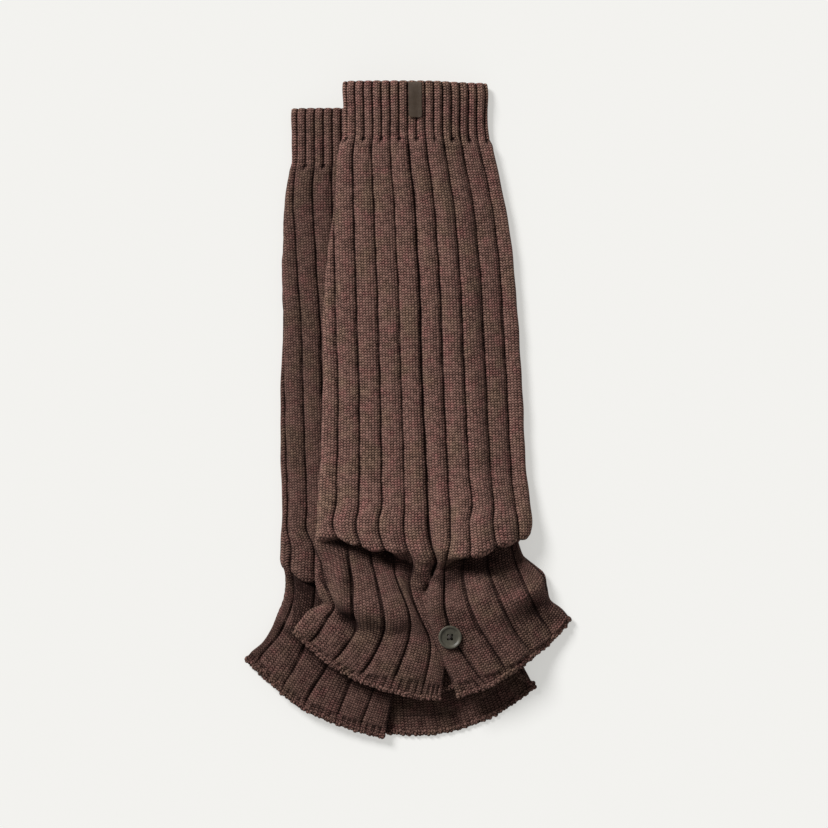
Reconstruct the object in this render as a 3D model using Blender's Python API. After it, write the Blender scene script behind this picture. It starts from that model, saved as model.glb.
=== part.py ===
"""A pair of rib-knit leg warmers laid flat, one lying on the other.

Each leg warmer is a tube of cloth pressed almost flat. It is described by rows of knitting, from the cuff
down to the hem. A row says where the two side edges and the front seam run, how far down the cloth lies
and how high the front stands above what the garment lies on. Around the tube, places are counted in wide
ribs: 0 at the front seam, positive to the right, 20 all the way round.
"""
import math
from collections import namedtuple

import bmesh
import bpy
import numpy as np

MM = 0.001

RIBS_AROUND = 20          # wide ribs round a leg
WALL = 2.0                # cloth thickness in a rib's valley, mm
VALLEY_SHARE = 0.10       # half width of a rib's valley, as a share of the rib
HEM_GAP_SHARE = 0.18      # the hem band starts this share of a row past the flare's end
AROUND_STEP = 0.12        # directions round a row are taken over this many ribs each way
SIDE_FADE = 0.7           # ribs run this far round onto the underside, in ribs
UNDER_FLAT = 0.86         # share of the half width where the underside is flat
TOP_FLAT = 0.35           # share of the half width where the top is level
TOP_POWER = 2.5           # roundness of the top's fall towards the side edges
UNDER_POWER = 2.0         # roundness of the underside's rise to the side edges
CENTRE_HOLD = {"left": 2.2, "right": 0.6}   # how far crowded rows keep the seam's level at their middle
DENSE = 61                # points on half a section before the ribs are spaced along it
FRONT_RIBS = 4            # ribs right of the seam that surely lie on the front
SHARP = math.radians(50)  # edges sharper than this are shaded sharp

LIE = 11.8                # height of the lower leg warmer's top, where the upper one lies, mm
SLOPE_START = 8.0         # the upper one starts to come down this far inside the lower one's edge, mm
SLOPE_WIDTH = 36.0        # and reaches the floor over this width, mm

BUTTON_RADIUS = 8.25      # a 26-line button
BUTTON_THICK = 3.0
BUTTON_FOOT = 1.6         # its underside ends this far inside its edge
BUTTON_EDGE = (1.1, 1.9)  # heights between which its edge is upright
BUTTON_SHOULDER = 0.6     # the rim's top starts this far inside the edge
BUTTON_RIM = 1.5
BUTTON_SLOPE = 0.9        # width of the slope from the rim down to the dish
BUTTON_DISH = 1.1         # depth of the middle below the rim
BUTTON_SIDES = 32
BUTTON_HOLE = 0.95
HOLE_SIDES = 8
BUTTON_HOLE_OUT = 2.1     # holes' distance from the centre
BUTTON_CLEAR = 0.34
SEAT_MARGIN = 3.0         # the button's seat is fitted to the cloth this far outside its rim
UPPER_BUTTON = (29.0, -161.0)
LOWER_BUTTON = (-6.5, -179.5)
BUTTON_BUMP = 4.2         # the upper flare rises this far over the lower button
BUTTON_BUMP_WIDTH = 24.0

LABEL_FROM_RIB = 0.06
LABEL_TO_RIB = 0.82
LABEL_COLUMNS = 5
LABEL_LENGTH = 25.5
LABEL_THICK = 1.0
LABEL_CLEAR = 0.55
LABEL_DROPS = (0.0, 0.35, 0.7, 0.95, 1.0)    # shares of its length where its rows lie
LABEL_TUCK = 0.12         # its rounded lower edge is this share narrower

Edge = namedtuple("Edge", "y x")
Straight = namedtuple("Straight", "y sag x_left x_seam x_right "
                      "h_left h_mid_left h_seam h_mid_right h_right k_left k_right rib")
Plan = namedtuple("Plan", "x_left x_seam_left x_seam_right x_right "
                  "y_left y_mid_left y_seam_left y_seam_right y_mid_right y_right y_back")
Height = namedtuple("Height", "h_left h_mid_left h_seam_left h_seam_right h_mid_right h_right "
                    "k_left k_right rib crowd")
Row = namedtuple("Row", Plan._fields + Height._fields)
Fold = namedtuple("Fold", "x y turn width length height first last")

# ---- upper leg warmer -------------------------------------------------------------------------------
# Cuff and leg: y, sag of the middle, x of left edge, seam and right edge, heights, edge ribs, rib depth.
UPPER_CUFF = (
    Straight(236.2, 0.0, -47.2, -1.0, 56.4, 9.5, 9.9, 9.9, 9.9, 9.5, -3.70, 4.65, 0.6),
    Straight(234.8, 0.0, -47.4, -1.0, 56.6, 10.0, 10.4, 10.4, 10.4, 10.0, -3.70, 4.65, 1.1),
    Straight(216.0, 0.0, -47.2, -0.8, 57.0, 10.0, 10.2, 10.2, 10.2, 10.0, -3.70, 4.65, 1.2),
    Straight(197.0, 0.0, -47.6, -0.6, 58.0, 9.6, 9.6, 9.6, 9.6, 9.6, -3.72, 4.65, 0.9),
)
UPPER_LEG = (
    Straight(196.5, 0.0, -47.8, -0.5, 58.2, 9.6, 9.6, 9.6, 9.6, 9.6, -3.72, 4.65, 0.5),
    Straight(187.5, 0.0, -50.5, 0.2, 60.0, 10.2, 10.4, 10.2, 10.4, 10.2, -3.80, 4.75, 1.4),
    Straight(171.5, 0.0, -52.5, 1.5, 63.5, 10.4, 10.6, 10.4, 10.6, 10.4, -3.88, 4.88, 1.4),
    Straight(148.5, 0.0, -54.5, 4.0, 67.5, 10.4, 10.6, 10.4, 10.6, 10.4, -4.00, 4.95, 1.4),
    Straight(114.0, 0.0, -58.0, 6.0, 72.0, 10.4, 10.6, 10.4, 10.6, 10.4, -4.30, 5.00, 1.4),
    Straight(72.5, 0.0, -61.0, 8.5, 76.5, 10.4, 10.6, 10.4, 10.6, 10.4, -4.60, 5.10, 1.4),
    Straight(22.0, 0.0, -61.5, 9.5, 80.5, 10.4, 10.6, 10.4, 10.6, 10.4, -4.80, 5.15, 1.4),
    Straight(-21.0, 0.0, -63.0, 11.5, 82.5, 10.8, 11.2, 10.8, 11.2, 10.8, -4.85, 5.20, 1.4),
    Straight(-50.0, 1.0, -65.0, 12.5, 84.5, 11.8, 13.0, 12.0, 13.2, 12.4, -4.90, 5.20, 1.4),
    Straight(-68.0, 2.5, -66.5, 13.5, 86.5, 13.2, 16.0, 13.6, 16.6, 15.0, -4.90, 5.20, 1.4),
    Straight(-79.0, 5.0, -67.5, 14.5, 88.3, 13.8, 17.8, 14.4, 18.8, 16.6, -4.90, 5.20, 1.4),
)
# The slouch fold: the cloth swells, turns over its lip and tucks back in at the cinch.
UPPER_FOLD = (
    (Plan(-68.0, 16.0, 16.0, 88.2, -86.0, -96.0, -97.0, -97.0, -94.5, -86.0, -86.0),
     Height(13.4, 17.0, 13.8, 13.8, 18.6, 16.4, -4.90, 5.20, 1.4, 0.000)),
    (Plan(-68.5, 17.5, 17.5, 86.5, -89.5, -102.0, -104.0, -104.0, -100.6, -89.5, -90.5),
     Height(12.4, 14.4, 12.6, 12.6, 15.6, 14.6, -4.92, 5.18, 1.2, 0.010)),
    (Plan(-69.0, 18.0, 18.0, 83.5, -92.0, -102.6, -108.0, -108.0, -101.4, -92.0, -94.0),
     Height(11.2, 11.2, 11.6, 11.6, 11.6, 12.6, -4.95, 5.15, 1.0, 0.020)),
    (Plan(-69.0, 18.0, 18.0, 81.0, -94.0, -98.6, -111.0, -111.0, -97.6, -93.6, -97.0),
     Height(10.0, 9.2, 10.8, 10.8, 9.2, 10.8, -4.98, 5.10, 0.8, 0.030)),
    (Plan(-69.0, 18.0, 18.0, 79.5, -95.4, -94.0, -113.0, -113.0, -93.4, -94.6, -100.0),
     Height(9.3, 7.8, 10.3, 10.3, 7.8, 9.7, -5.00, 5.10, 0.5, 0.040)),
)
# The flare: the left panel ends under the placket, the right panel's edge is the placket's edge.
UPPER_FLARE = (
    (Plan(-69.0, 17.6, 18.4, 79.0, -96.5, -93.1, -114.0, -114.0, -92.5, -95.6, -101.4),
     Height(8.9, 6.0, 9.9, 9.9, 6.0, 9.1, -5.00, 5.10, 0.4, 0.050)),
    (Plan(-69.0, 17.8, 18.6, 80.0, -99.0, -94.6, -117.0, -117.0, -94.4, -98.0, -104.4),
     Height(9.0, 5.0, 8.4, 12.4, 5.0, 9.6, -5.02, 5.10, 0.6, 0.055)),
    (Plan(-69.0, 19.5, 16.0, 84.0, -104.0, -101.0, -121.0, -121.0, -101.8, -101.6, -108.6),
     Height(9.6, 5.8, 8.2, 12.8, 5.8, 10.8, -5.06, 5.06, 0.8, 0.060)),
    (Plan(-69.0, 21.0, 13.8, 91.0, -110.5, -108.4, -125.6, -125.6, -110.6, -107.6, -114.2),
     Height(10.2, 10.2, 8.2, 13.0, 10.6, 12.2, -5.12, 5.02, 1.2, 0.060)),
    (Plan(-68.5, 23.5, 13.0, 98.0, -119.0, -119.0, -131.5, -131.5, -121.5, -115.5, -121.5),
     Height(10.8, 13.8, 8.2, 13.0, 14.2, 13.2, -5.25, 5.00, 1.4, 0.060)),
    (Plan(-66.0, 26.5, 13.0, 99.5, -129.0, -134.5, -141.0, -141.0, -133.5, -124.0, -131.5),
     Height(10.8, 13.8, 8.2, 12.9, 14.6, 13.0, -5.50, 5.00, 1.4, 0.060)),
    (Plan(-63.5, 28.5, 14.0, 101.0, -136.5, -148.5, -153.5, -153.5, -143.0, -131.5, -142.0),
     Height(10.2, 12.6, 8.0, 12.6, 13.2, 12.0, -5.80, 5.00, 1.4, 0.050)),
    (Plan(-67.5, 29.0, 17.5, 105.0, -143.0, -162.5, -168.0, -168.0, -152.5, -138.0, -155.0),
     Height(9.6, 11.0, 7.8, 12.2, 11.6, 11.0, -6.00, 5.00, 1.4, 0.030)),
    (Plan(-73.0, 26.5, 24.0, 110.0, -149.5, -173.0, -180.5, -179.5, -161.0, -142.0, -169.5),
     Height(9.4, 10.6, 7.7, 11.8, 11.0, 10.2, -6.00, 5.00, 1.4, 0.010)),
    (Plan(-78.0, 25.0, 30.0, 114.0, -155.0, -181.0, -192.0, -191.0, -169.0, -146.0, -184.0),
     Height(9.2, 10.3, 7.6, 11.2, 10.4, 9.6, -6.00, 5.00, 1.3, 0.000)),
)
UPPER_HEM = (
    (Plan(-81.2, 24.0, 33.2, 116.2, -158.6, -186.4, -200.0, -198.6, -174.2, -148.0, -193.6),
     Height(9.0, 10.2, 7.6, 10.6, 10.2, 9.2, -6.00, 5.00, 1.1, 0.000)),
    (Plan(-82.6, 23.4, 34.3, 117.2, -160.1, -190.2, -205.4, -203.4, -178.6, -149.5, -199.0),
     Height(9.2, 10.4, 7.8, 10.6, 10.4, 9.2, -6.00, 5.00, 1.3, 0.000)),
    (Plan(-83.0, 23.0, 34.5, 118.0, -160.6, -192.0, -207.5, -205.0, -180.5, -150.0, -201.0),
     Height(8.4, 9.8, 7.2, 9.9, 9.8, 8.6, -6.00, 5.00, 0.8, 0.000)),
)
# Single creases and swellings of the upper front: centre, turn of its line, sizes and the rows it is on.
UPPER_FOLDS = (
    Fold(-61.0, -120.0, 55.0, 5.0, 13.0, 1.8, 18, 22),
    Fold(-44.0, -148.0, 20.0, 12.0, 18.0, 2.0, 20, 25),
    Fold(-8.0, -116.0, -30.0, 6.0, 12.0, -1.6, 17, 22),
    Fold(52.0, -128.0, 10.0, 6.0, 22.0, 1.4, 19, 23),
    Fold(90.0, -124.0, 70.0, 6.0, 12.0, 1.4, 18, 23),
)

# ---- lower leg warmer -------------------------------------------------------------------------------
LOWER_CUFF = (
    Straight(217.5, 0.0, -82.6, -29.5, 20.4, 8.8, 9.2, 9.2, 9.2, 8.8, -4.28, 4.07, 0.6),
    Straight(215.8, 0.0, -82.8, -29.5, 20.6, 9.6, 9.9, 9.9, 9.9, 9.6, -4.28, 4.07, 1.1),
    Straight(197.0, 0.0, -83.0, -29.3, 20.8, 9.8, 9.9, 9.9, 9.9, 9.8, -4.28, 4.07, 1.2),
    Straight(178.5, 0.0, -83.8, -29.0, 21.0, 9.4, 9.4, 9.4, 9.4, 9.4, -4.30, 4.07, 0.9),
)
LOWER_LEG = (
    Straight(178.0, 0.0, -84.0, -29.0, 21.2, 9.4, 9.4, 9.4, 9.4, 9.4, -4.30, 4.07, 0.5),
    Straight(167.5, 0.0, -87.0, -28.0, 24.5, 9.9, 9.9, 9.9, 9.9, 9.9, -4.30, 4.20, 1.4),
    Straight(148.5, 0.0, -89.5, -27.0, 29.0, 10.0, 10.0, 10.0, 10.0, 10.0, -4.40, 4.35, 1.4),
    Straight(125.5, 0.0, -90.5, -26.0, 33.0, 10.0, 10.0, 10.0, 10.0, 10.0, -4.60, 4.45, 1.4),
    Straight(94.0, 0.0, -92.0, -24.5, 36.5, 10.0, 10.0, 10.0, 10.0, 10.0, -4.85, 4.55, 1.4),
    Straight(58.0, 0.0, -92.0, -22.0, 40.5, 10.0, 10.0, 10.0, 10.0, 10.0, -5.05, 4.65, 1.4),
    Straight(7.5, 0.0, -93.0, -20.0, 44.0, 10.0, 10.0, 10.0, 10.0, 10.0, -5.20, 4.70, 1.4),
    Straight(-35.5, 0.0, -92.5, -18.5, 47.0, 10.0, 10.0, 10.0, 10.0, 10.0, -5.25, 4.70, 1.4),
    Straight(-68.0, 1.0, -91.5, -17.5, 49.5, 10.4, 10.0, 10.0, 10.0, 10.0, -5.25, 4.70, 1.4),
    Straight(-89.5, 2.5, -92.0, -16.5, 51.0, 11.6, 10.2, 10.0, 10.0, 10.0, -5.25, 4.70, 1.4),
    Straight(-98.0, 5.0, -92.6, -16.2, 51.8, 12.0, 10.2, 10.0, 10.0, 10.0, -5.25, 4.70, 1.4),
)
LOWER_FOLD = (
    (Plan(-93.0, -16.0, -16.0, 52.0, -105.0, -116.0, -113.5, -113.5, -111.0, -105.0, -106.0),
     Height(11.6, 10.0, 10.0, 10.0, 10.0, 10.0, -5.25, 4.70, 1.4, 0.000)),
    (Plan(-93.2, -15.5, -15.5, 51.4, -109.0, -123.0, -119.0, -119.0, -114.6, -107.4, -110.5),
     Height(11.0, 9.4, 9.9, 9.9, 9.7, 9.8, -5.25, 4.70, 1.2, 0.010)),
    (Plan(-92.6, -15.0, -15.0, 50.0, -112.0, -124.0, -124.0, -124.0, -118.0, -109.8, -114.5),
     Height(10.2, 8.0, 9.7, 9.7, 9.3, 9.4, -5.25, 4.70, 1.0, 0.020)),
    (Plan(-91.0, -15.0, -15.0, 48.0, -114.2, -122.0, -128.2, -128.2, -121.4, -112.0, -118.6),
     Height(9.6, 7.4, 9.6, 9.6, 9.1, 9.2, -5.30, 4.70, 0.8, 0.030)),
    (Plan(-90.0, -15.0, -15.0, 46.0, -115.6, -118.8, -131.0, -131.0, -124.0, -113.4, -121.8),
     Height(9.1, 7.0, 9.4, 9.4, 8.8, 9.0, -5.35, 4.70, 0.5, 0.030)),
)
LOWER_FLARE = (
    (Plan(-89.5, -15.4, -14.6, 45.2, -116.8, -118.2, -132.3, -132.3, -125.4, -114.4, -123.4),
     Height(8.3, 5.2, 9.0, 9.0, 8.4, 8.6, -5.35, 4.70, 0.4, 0.040)),
    (Plan(-89.5, -15.2, -14.4, 46.4, -119.6, -120.6, -135.2, -135.2, -128.4, -117.2, -126.6),
     Height(8.1, 4.6, 6.4, 10.2, 8.4, 8.6, -5.40, 4.70, 0.6, 0.040)),
    (Plan(-89.5, -13.4, -17.4, 49.8, -123.6, -126.4, -138.8, -138.8, -132.0, -121.8, -131.2),
     Height(8.4, 5.4, 6.2, 10.2, 8.6, 8.8, -5.45, 4.70, 0.8, 0.040)),
    (Plan(-90.0, -11.5, -20.0, 56.0, -130.0, -134.5, -143.5, -143.5, -137.0, -128.0, -137.0),
     Height(9.0, 7.6, 6.2, 10.2, 9.0, 9.2, -5.55, 4.70, 1.2, 0.040)),
    (Plan(-91.0, -9.5, -21.5, 62.0, -137.0, -144.5, -150.0, -150.0, -143.5, -135.0, -144.5),
     Height(9.4, 9.2, 6.2, 10.2, 9.4, 9.4, -5.70, 4.75, 1.2, 0.040)),
    (Plan(-94.5, -8.0, -22.5, 65.0, -144.5, -156.0, -159.5, -159.5, -152.5, -143.0, -153.5),
     Height(9.6, 9.6, 6.2, 10.2, 9.4, 9.4, -5.85, 4.85, 1.2, 0.030)),
    (Plan(-98.0, -6.5, -21.0, 67.5, -151.0, -168.0, -172.5, -172.5, -161.0, -151.5, -165.0),
     Height(9.6, 9.6, 6.2, 10.2, 9.4, 9.2, -5.95, 4.95, 1.2, 0.020)),
    (Plan(-99.5, -6.0, -18.0, 72.0, -157.5, -180.5, -187.0, -185.5, -168.0, -161.0, -179.5),
     Height(9.4, 9.4, 6.2, 10.2, 9.2, 8.8, -6.00, 5.00, 1.2, 0.010)),
    (Plan(-105.0, -7.5, -13.0, 77.0, -164.0, -190.5, -200.0, -194.0, -174.0, -171.0, -195.5),
     Height(9.2, 9.2, 6.4, 10.0, 9.0, 8.4, -6.00, 5.00, 1.2, 0.000)),
    (Plan(-111.0, -11.0, -8.5, 83.0, -170.5, -200.0, -213.0, -200.0, -179.0, -182.0, -211.5),
     Height(9.2, 9.3, 6.8, 9.8, 9.0, 8.4, -6.00, 5.00, 1.2, 0.000)),
)
LOWER_HEM = (
    (Plan(-115.4, -14.8, -5.6, 86.8, -175.0, -206.4, -224.4, -203.4, -182.6, -190.4, -222.4),
     Height(9.2, 9.4, 7.2, 9.2, 9.0, 8.4, -6.00, 5.00, 1.1, 0.000)),
    (Plan(-117.8, -17.4, -4.0, 88.8, -178.2, -212.2, -233.4, -204.9, -186.0, -195.9, -232.2),
     Height(9.4, 9.7, 7.4, 9.2, 9.0, 8.4, -6.00, 5.00, 1.3, 0.000)),
    (Plan(-118.0, -18.0, -3.5, 89.5, -179.0, -214.0, -236.3, -205.5, -187.5, -197.5, -235.0),
     Height(8.8, 9.2, 6.8, 8.6, 8.6, 8.0, -6.00, 5.00, 0.8, 0.000)),
)
LOWER_FOLDS = (
    Fold(-84.0, -134.0, 60.0, 5.0, 12.0, 1.0, 18, 21),
    Fold(-98.0, -168.0, 40.0, 7.0, 16.0, 1.2, 21, 24),
)

# Right side edge of the lower leg warmer, over which the upper one comes down to the floor.
LOWER_RIGHT = (
    Edge(236.0, 20.4), Edge(178.0, 21.2), Edge(148.5, 29.0), Edge(94.0, 36.5), Edge(7.5, 44.0),
    Edge(-68.0, 49.5), Edge(-98.0, 51.8), Edge(-114.0, 48.0), Edge(-129.0, 56.0), Edge(-144.5, 65.0),
    Edge(-165.0, 73.0), Edge(-182.0, 83.0), Edge(-197.5, 89.5),
)

COLOURS = {
    "upper": (0.098, 0.053, 0.042),
    "lower": (0.082, 0.044, 0.034),
    "button": (0.048, 0.043, 0.032),
    "label": (0.052, 0.044, 0.033),
}


def clear_scene():
    for thing in list(bpy.data.objects):
        bpy.data.objects.remove(thing, do_unlink=True)


def material(name, colour, roughness):
    """One plain Principled material for one object."""
    made = bpy.data.materials.new(name)
    made.use_nodes = True
    shader = made.node_tree.nodes["Principled BSDF"]
    shader.inputs["Base Color"].default_value = (*colour, 1.0)
    shader.inputs["Roughness"].default_value = roughness
    shader.inputs["Metallic"].default_value = 0.0
    return made


def smooth_step(value):
    t = np.clip(value, 0.0, 1.0)
    return t * t * (3.0 - 2.0 * t)


def through(seam, mid, edge, g):
    """Curve through its values at the seam (0), half way (0.5) and the side edge (1)."""
    return (seam * (1.0 - g) * (1.0 - 2.0 * g)
            + mid * 4.0 * g * (1.0 - g)
            + edge * g * (2.0 * g - 1.0))


def rounding(g, flat, power):
    """1 over the level middle, falling to 0 at the side edge."""
    out = np.clip((g - flat) / (1.0 - flat), 0.0, 1.0)
    return (1.0 - out ** power) ** (1.0 / power)


def spread(run, crowd):
    """Ribs drawn together near the seam and the edge: the rib share at each share of the way along."""
    share = np.linspace(0.0, 1.0, 2 * DENSE)
    return np.interp(run, share - crowd * np.sin(math.tau * share), share)


def unit(vectors):
    return vectors / (np.linalg.norm(vectors, axis=1, keepdims=True) + 1e-9)


def floor_level(x, y):
    return np.zeros_like(x)


def lie_level(x, y):
    """Height that the upper leg warmer's underside has over the lower one and down to the floor."""
    edges = sorted(LOWER_RIGHT)
    right = np.interp(y, [edge.y for edge in edges], [edge.x for edge in edges])
    down = smooth_step((x - right + SLOPE_START) / SLOPE_WIDTH)
    from_button = (x - LOWER_BUTTON[0]) ** 2 + (y - LOWER_BUTTON[1]) ** 2
    bump = BUTTON_BUMP * np.exp(-from_button / BUTTON_BUMP_WIDTH ** 2)
    return (LIE + bump) * (1.0 - down)


def fold_lift(folds, index, x, y):
    """Extra height of the single creases at these places of one row."""
    lift = np.zeros_like(x)
    for fold in folds:
        if not fold.first <= index <= fold.last:
            continue
        turn = math.radians(fold.turn)
        along = (x - fold.x) * math.cos(turn) + (y - fold.y) * math.sin(turn)
        across = -(x - fold.x) * math.sin(turn) + (y - fold.y) * math.cos(turn)
        lift += fold.height * np.exp(-(along / fold.length) ** 2 - (across / fold.width) ** 2)
    return lift


def expand(row):
    """A straight row of the cuff or leg in the columns of a full row."""
    middle = row.y - row.sag
    plan = Plan(row.x_left, row.x_seam, row.x_seam, row.x_right,
                row.y, middle, middle, middle, middle, row.y, row.y)
    height = Height(row.h_left, row.h_mid_left, row.h_seam, row.h_seam, row.h_mid_right, row.h_right,
                    row.k_left, row.k_right, row.rib, 0.0)
    return Row(*plan, *height)


def between(first, second, share):
    return Row(*(a + (b - a) * share for a, b in zip(first, second)))


def section(row, index, base, folds):
    """The row's outline all round: rib places from 0 to 20, and a point in mm for each."""
    g = np.sin(np.linspace(0.0, math.pi / 2.0, DENSE))
    top = rounding(g, TOP_FLAT, TOP_POWER)
    halves = []
    for side in ("left", "right"):
        held = g - CENTRE_HOLD[side] * row.crowd * np.sin(math.tau * g)
        seam_x = getattr(row, "x_seam_" + side)
        x = seam_x + (getattr(row, "x_" + side) - seam_x) * g
        y = through(getattr(row, "y_seam_" + side), getattr(row, "y_mid_" + side),
                    getattr(row, "y_" + side), held)
        h = through(getattr(row, "h_seam_" + side), getattr(row, "h_mid_" + side),
                    getattr(row, "h_" + side), held)
        lift = fold_lift(folds, index, x, y) * top
        z = base(x, y) + h * (0.5 + 0.5 * top) + lift
        points = np.stack([x, y, z], axis=1)
        run = np.concatenate([[0.0], np.cumsum(np.linalg.norm(np.diff(points[:, ::2], axis=0), axis=1))])
        halves.append((points, run / run[-1]))
    (left, left_run), (right, right_run) = halves
    left_run = spread(left_run, row.crowd)
    right_run = spread(right_run, row.crowd)

    across = np.sin(np.linspace(math.pi / 2.0, -math.pi / 2.0, 2 * DENSE))
    x = 0.5 * (row.x_right + row.x_left) + 0.5 * (row.x_right - row.x_left) * across
    share = 0.5 + 0.5 * across
    ends = row.y_left + (row.y_right - row.y_left) * share
    y = ends + (row.y_back - 0.5 * (row.y_left + row.y_right)) * (1.0 - across ** 2)
    half = 0.5 * (row.h_left + (row.h_right - row.h_left) * share)
    z = base(x, y) + half * (1.0 - rounding(np.abs(across), UNDER_FLAT, UNDER_POWER))
    back = np.stack([x, y, z], axis=1)
    run = np.concatenate([[0.0], np.cumsum(np.linalg.norm(np.diff(back[:, ::2], axis=0), axis=1))])
    back_end = row.k_left + RIBS_AROUND
    back_ribs = row.k_right + (back_end - row.k_right) * run / run[-1]

    ribs = np.concatenate([row.k_right * right_run, back_ribs[1:],
                           (RIBS_AROUND + row.k_left * left_run)[::-1][1:]])
    points = np.concatenate([right, back[1:], left[::-1][1:]])
    return ribs, points


def at(outline, ribs, closed):
    """Points of a section at rib places."""
    known, points = outline
    places = np.asarray(ribs, dtype=float)
    places = places % RIBS_AROUND if closed else np.clip(places, 0.0, RIBS_AROUND)
    return np.stack([np.interp(places, known, points[:, axis]) for axis in range(3)], axis=1)


def rib_height(ribs, row, ribs_per_wide):
    """How far the ribs stand out of the valley surface, fading out on the underside."""
    places = np.asarray(ribs)
    fine = places * ribs_per_wide
    to_valley = np.abs(fine - np.round(fine))
    raised = 1.0 - np.exp(-(to_valley / VALLEY_SHARE) ** 2)
    past_right = (places - row.k_right) / SIDE_FADE
    past_left = (row.k_left + RIBS_AROUND - places) / SIDE_FADE
    under = np.clip(np.minimum(past_right, past_left), 0.0, 1.0)
    return row.rib * raised * (1.0 - under)


class Garment:
    """One leg warmer: its rows, what it lies on, and points and directions anywhere on its cloth."""

    def __init__(self, parts, base, folds):
        self.base = base
        self.rows = []
        self.span = {}
        self.tube = {}
        self.across_seam = {}
        for name, rows, closed in parts:
            start = len(self.rows)
            if start:
                self.across_seam[start] = start - 1
                self.across_seam[start - 1] = start
            self.rows.extend(rows)
            self.span[name] = (start, len(self.rows))
            self.tube[name] = closed
        self.outlines = [section(row, index, base, folds) for index, row in enumerate(self.rows)]

    def direction(self, index, ribs, closed):
        """Outward directions along one row."""
        last = len(self.rows) - 1
        here = at(self.outlines[index], ribs, closed)
        before = at(self.outlines[max(index - 1, 0)], ribs, closed)
        after = at(self.outlines[min(index + 1, last)], ribs, closed)
        places = np.asarray(ribs)
        along = unit(after - here) + unit(here - before)
        around = (at(self.outlines[index], places + AROUND_STEP, closed)
                  - at(self.outlines[index], places - AROUND_STEP, closed))
        return unit(np.cross(along, around))

    def surface(self, index, ribs, closed):
        """Valley-level points and outward directions of one row; rows that meet at a seam share theirs."""
        out = self.direction(index, ribs, closed)
        if index in self.across_seam:
            out = unit(out + self.direction(self.across_seam[index], ribs, closed))
        return at(self.outlines[index], ribs, closed), out

    def grids(self, name, outer_ribs, inner_ribs, ribs_per_wide):
        """Outer points, with the ribs raised, and plain inner points of one piece."""
        first, last = self.span[name]
        closed = self.tube[name]
        outer = []
        inner = []
        for index in range(first, last):
            points, out = self.surface(index, outer_ribs, closed)
            raised = rib_height(outer_ribs, self.rows[index], ribs_per_wide)
            points = points + out * raised[:, None]
            points[:, 2] = np.maximum(points[:, 2], self.base(points[:, 0], points[:, 1]))
            outer.append(points)
            points, out = self.surface(index, inner_ribs, closed)
            inner.append(points - out * WALL)
        return np.array(outer), np.array(inner)


def ladder(start, stop, step):
    count = int(round((stop - start) / step))
    return [start + step * number for number in range(count)]


def rib_places(first, last, shares):
    """The given shares of every rib from one whole rib to another."""
    return [whole + share for whole in range(first, last) for share in shares]


# Rib places where the walls have points: close on the front, wide apart on the flat underside.
WIDE_SHARES = (0.0, 0.13, 0.5, 0.87)
FINE_SHARES = (0.0, 1 / 6, 1 / 3, 0.5, 2 / 3, 5 / 6)
WIDE_OUTER = (rib_places(0, 4, WIDE_SHARES) + ladder(4, 6, 0.25) + ladder(6, 14, 1.0)[1:]
              + ladder(13.75, 16, 0.25) + rib_places(16, 20, WIDE_SHARES))
FINE_OUTER = (rib_places(0, 4, FINE_SHARES) + ladder(4, 4.5, 1 / 6) + ladder(4.5, 5.5, 0.25)
              + ladder(5.5, 15.5, 1.0) + ladder(15.5, 16, 0.25) + rib_places(16, 20, FINE_SHARES))
INNER = (ladder(0, 4, 1.0) + ladder(4, 6, 0.4) + ladder(6, 14, 1.0)
         + ladder(14, 16.4, 0.4) + ladder(16.4, 20, 0.9))


def stitch(bm, first, first_ribs, second, second_ribs):
    """Triangles between two runs of points of unequal count, both ordered by rib place."""
    i = 0
    j = 0
    while i < len(first) - 1 or j < len(second) - 1:
        step_first = j == len(second) - 1 or (i < len(first) - 1 and first_ribs[i + 1] <= second_ribs[j + 1])
        if step_first:
            bm.faces.new((first[i], first[i + 1], second[j]))
            i += 1
        else:
            bm.faces.new((first[i], second[j + 1], second[j]))
            j += 1


def skin(bm, rows):
    for upper, lower in zip(rows, rows[1:]):
        for j in range(len(upper) - 1):
            bm.faces.new((upper[j], lower[j], lower[j + 1], upper[j + 1]))


def finish(bm, name, surface):
    """Turn a bmesh in mm into a smooth-shaded object in metres."""
    bmesh.ops.scale(bm, vec=(MM, MM, MM), verts=bm.verts)
    bmesh.ops.recalc_face_normals(bm, faces=bm.faces)
    mesh = bpy.data.meshes.new(name)
    bm.to_mesh(mesh)
    bm.free()
    mesh.materials.append(surface)
    mesh.shade_smooth()
    mesh.set_sharp_from_angle(angle=SHARP)
    bpy.context.scene.collection.objects.link(bpy.data.objects.new(name, mesh))


def wall(name, outer, inner, outer_ribs, inner_ribs, closed, surface):
    """A cloth wall between an outer and an inner grid, as a tube or as an open sheet."""
    bm = bmesh.new()
    outer_rows = [[bm.verts.new(point) for point in row] for row in outer]
    inner_rows = [[bm.verts.new(point) for point in row] for row in inner]
    outer_at = list(outer_ribs)
    inner_at = list(inner_ribs)
    if closed:
        for row in outer_rows + inner_rows:
            row.append(row[0])
        outer_at.append(outer_at[0] + RIBS_AROUND)
        inner_at.append(inner_at[0] + RIBS_AROUND)
    skin(bm, outer_rows)
    skin(bm, [row[::-1] for row in inner_rows])
    for end in (0, -1):
        stitch(bm, outer_rows[end], outer_at, inner_rows[end], inner_at)
    if not closed:
        for end in (0, -1):
            for row in range(len(outer_rows) - 1):
                bm.faces.new((outer_rows[row][end], outer_rows[row + 1][end],
                              inner_rows[row + 1][end], inner_rows[row][end]))
    finish(bm, name, surface)


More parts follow.
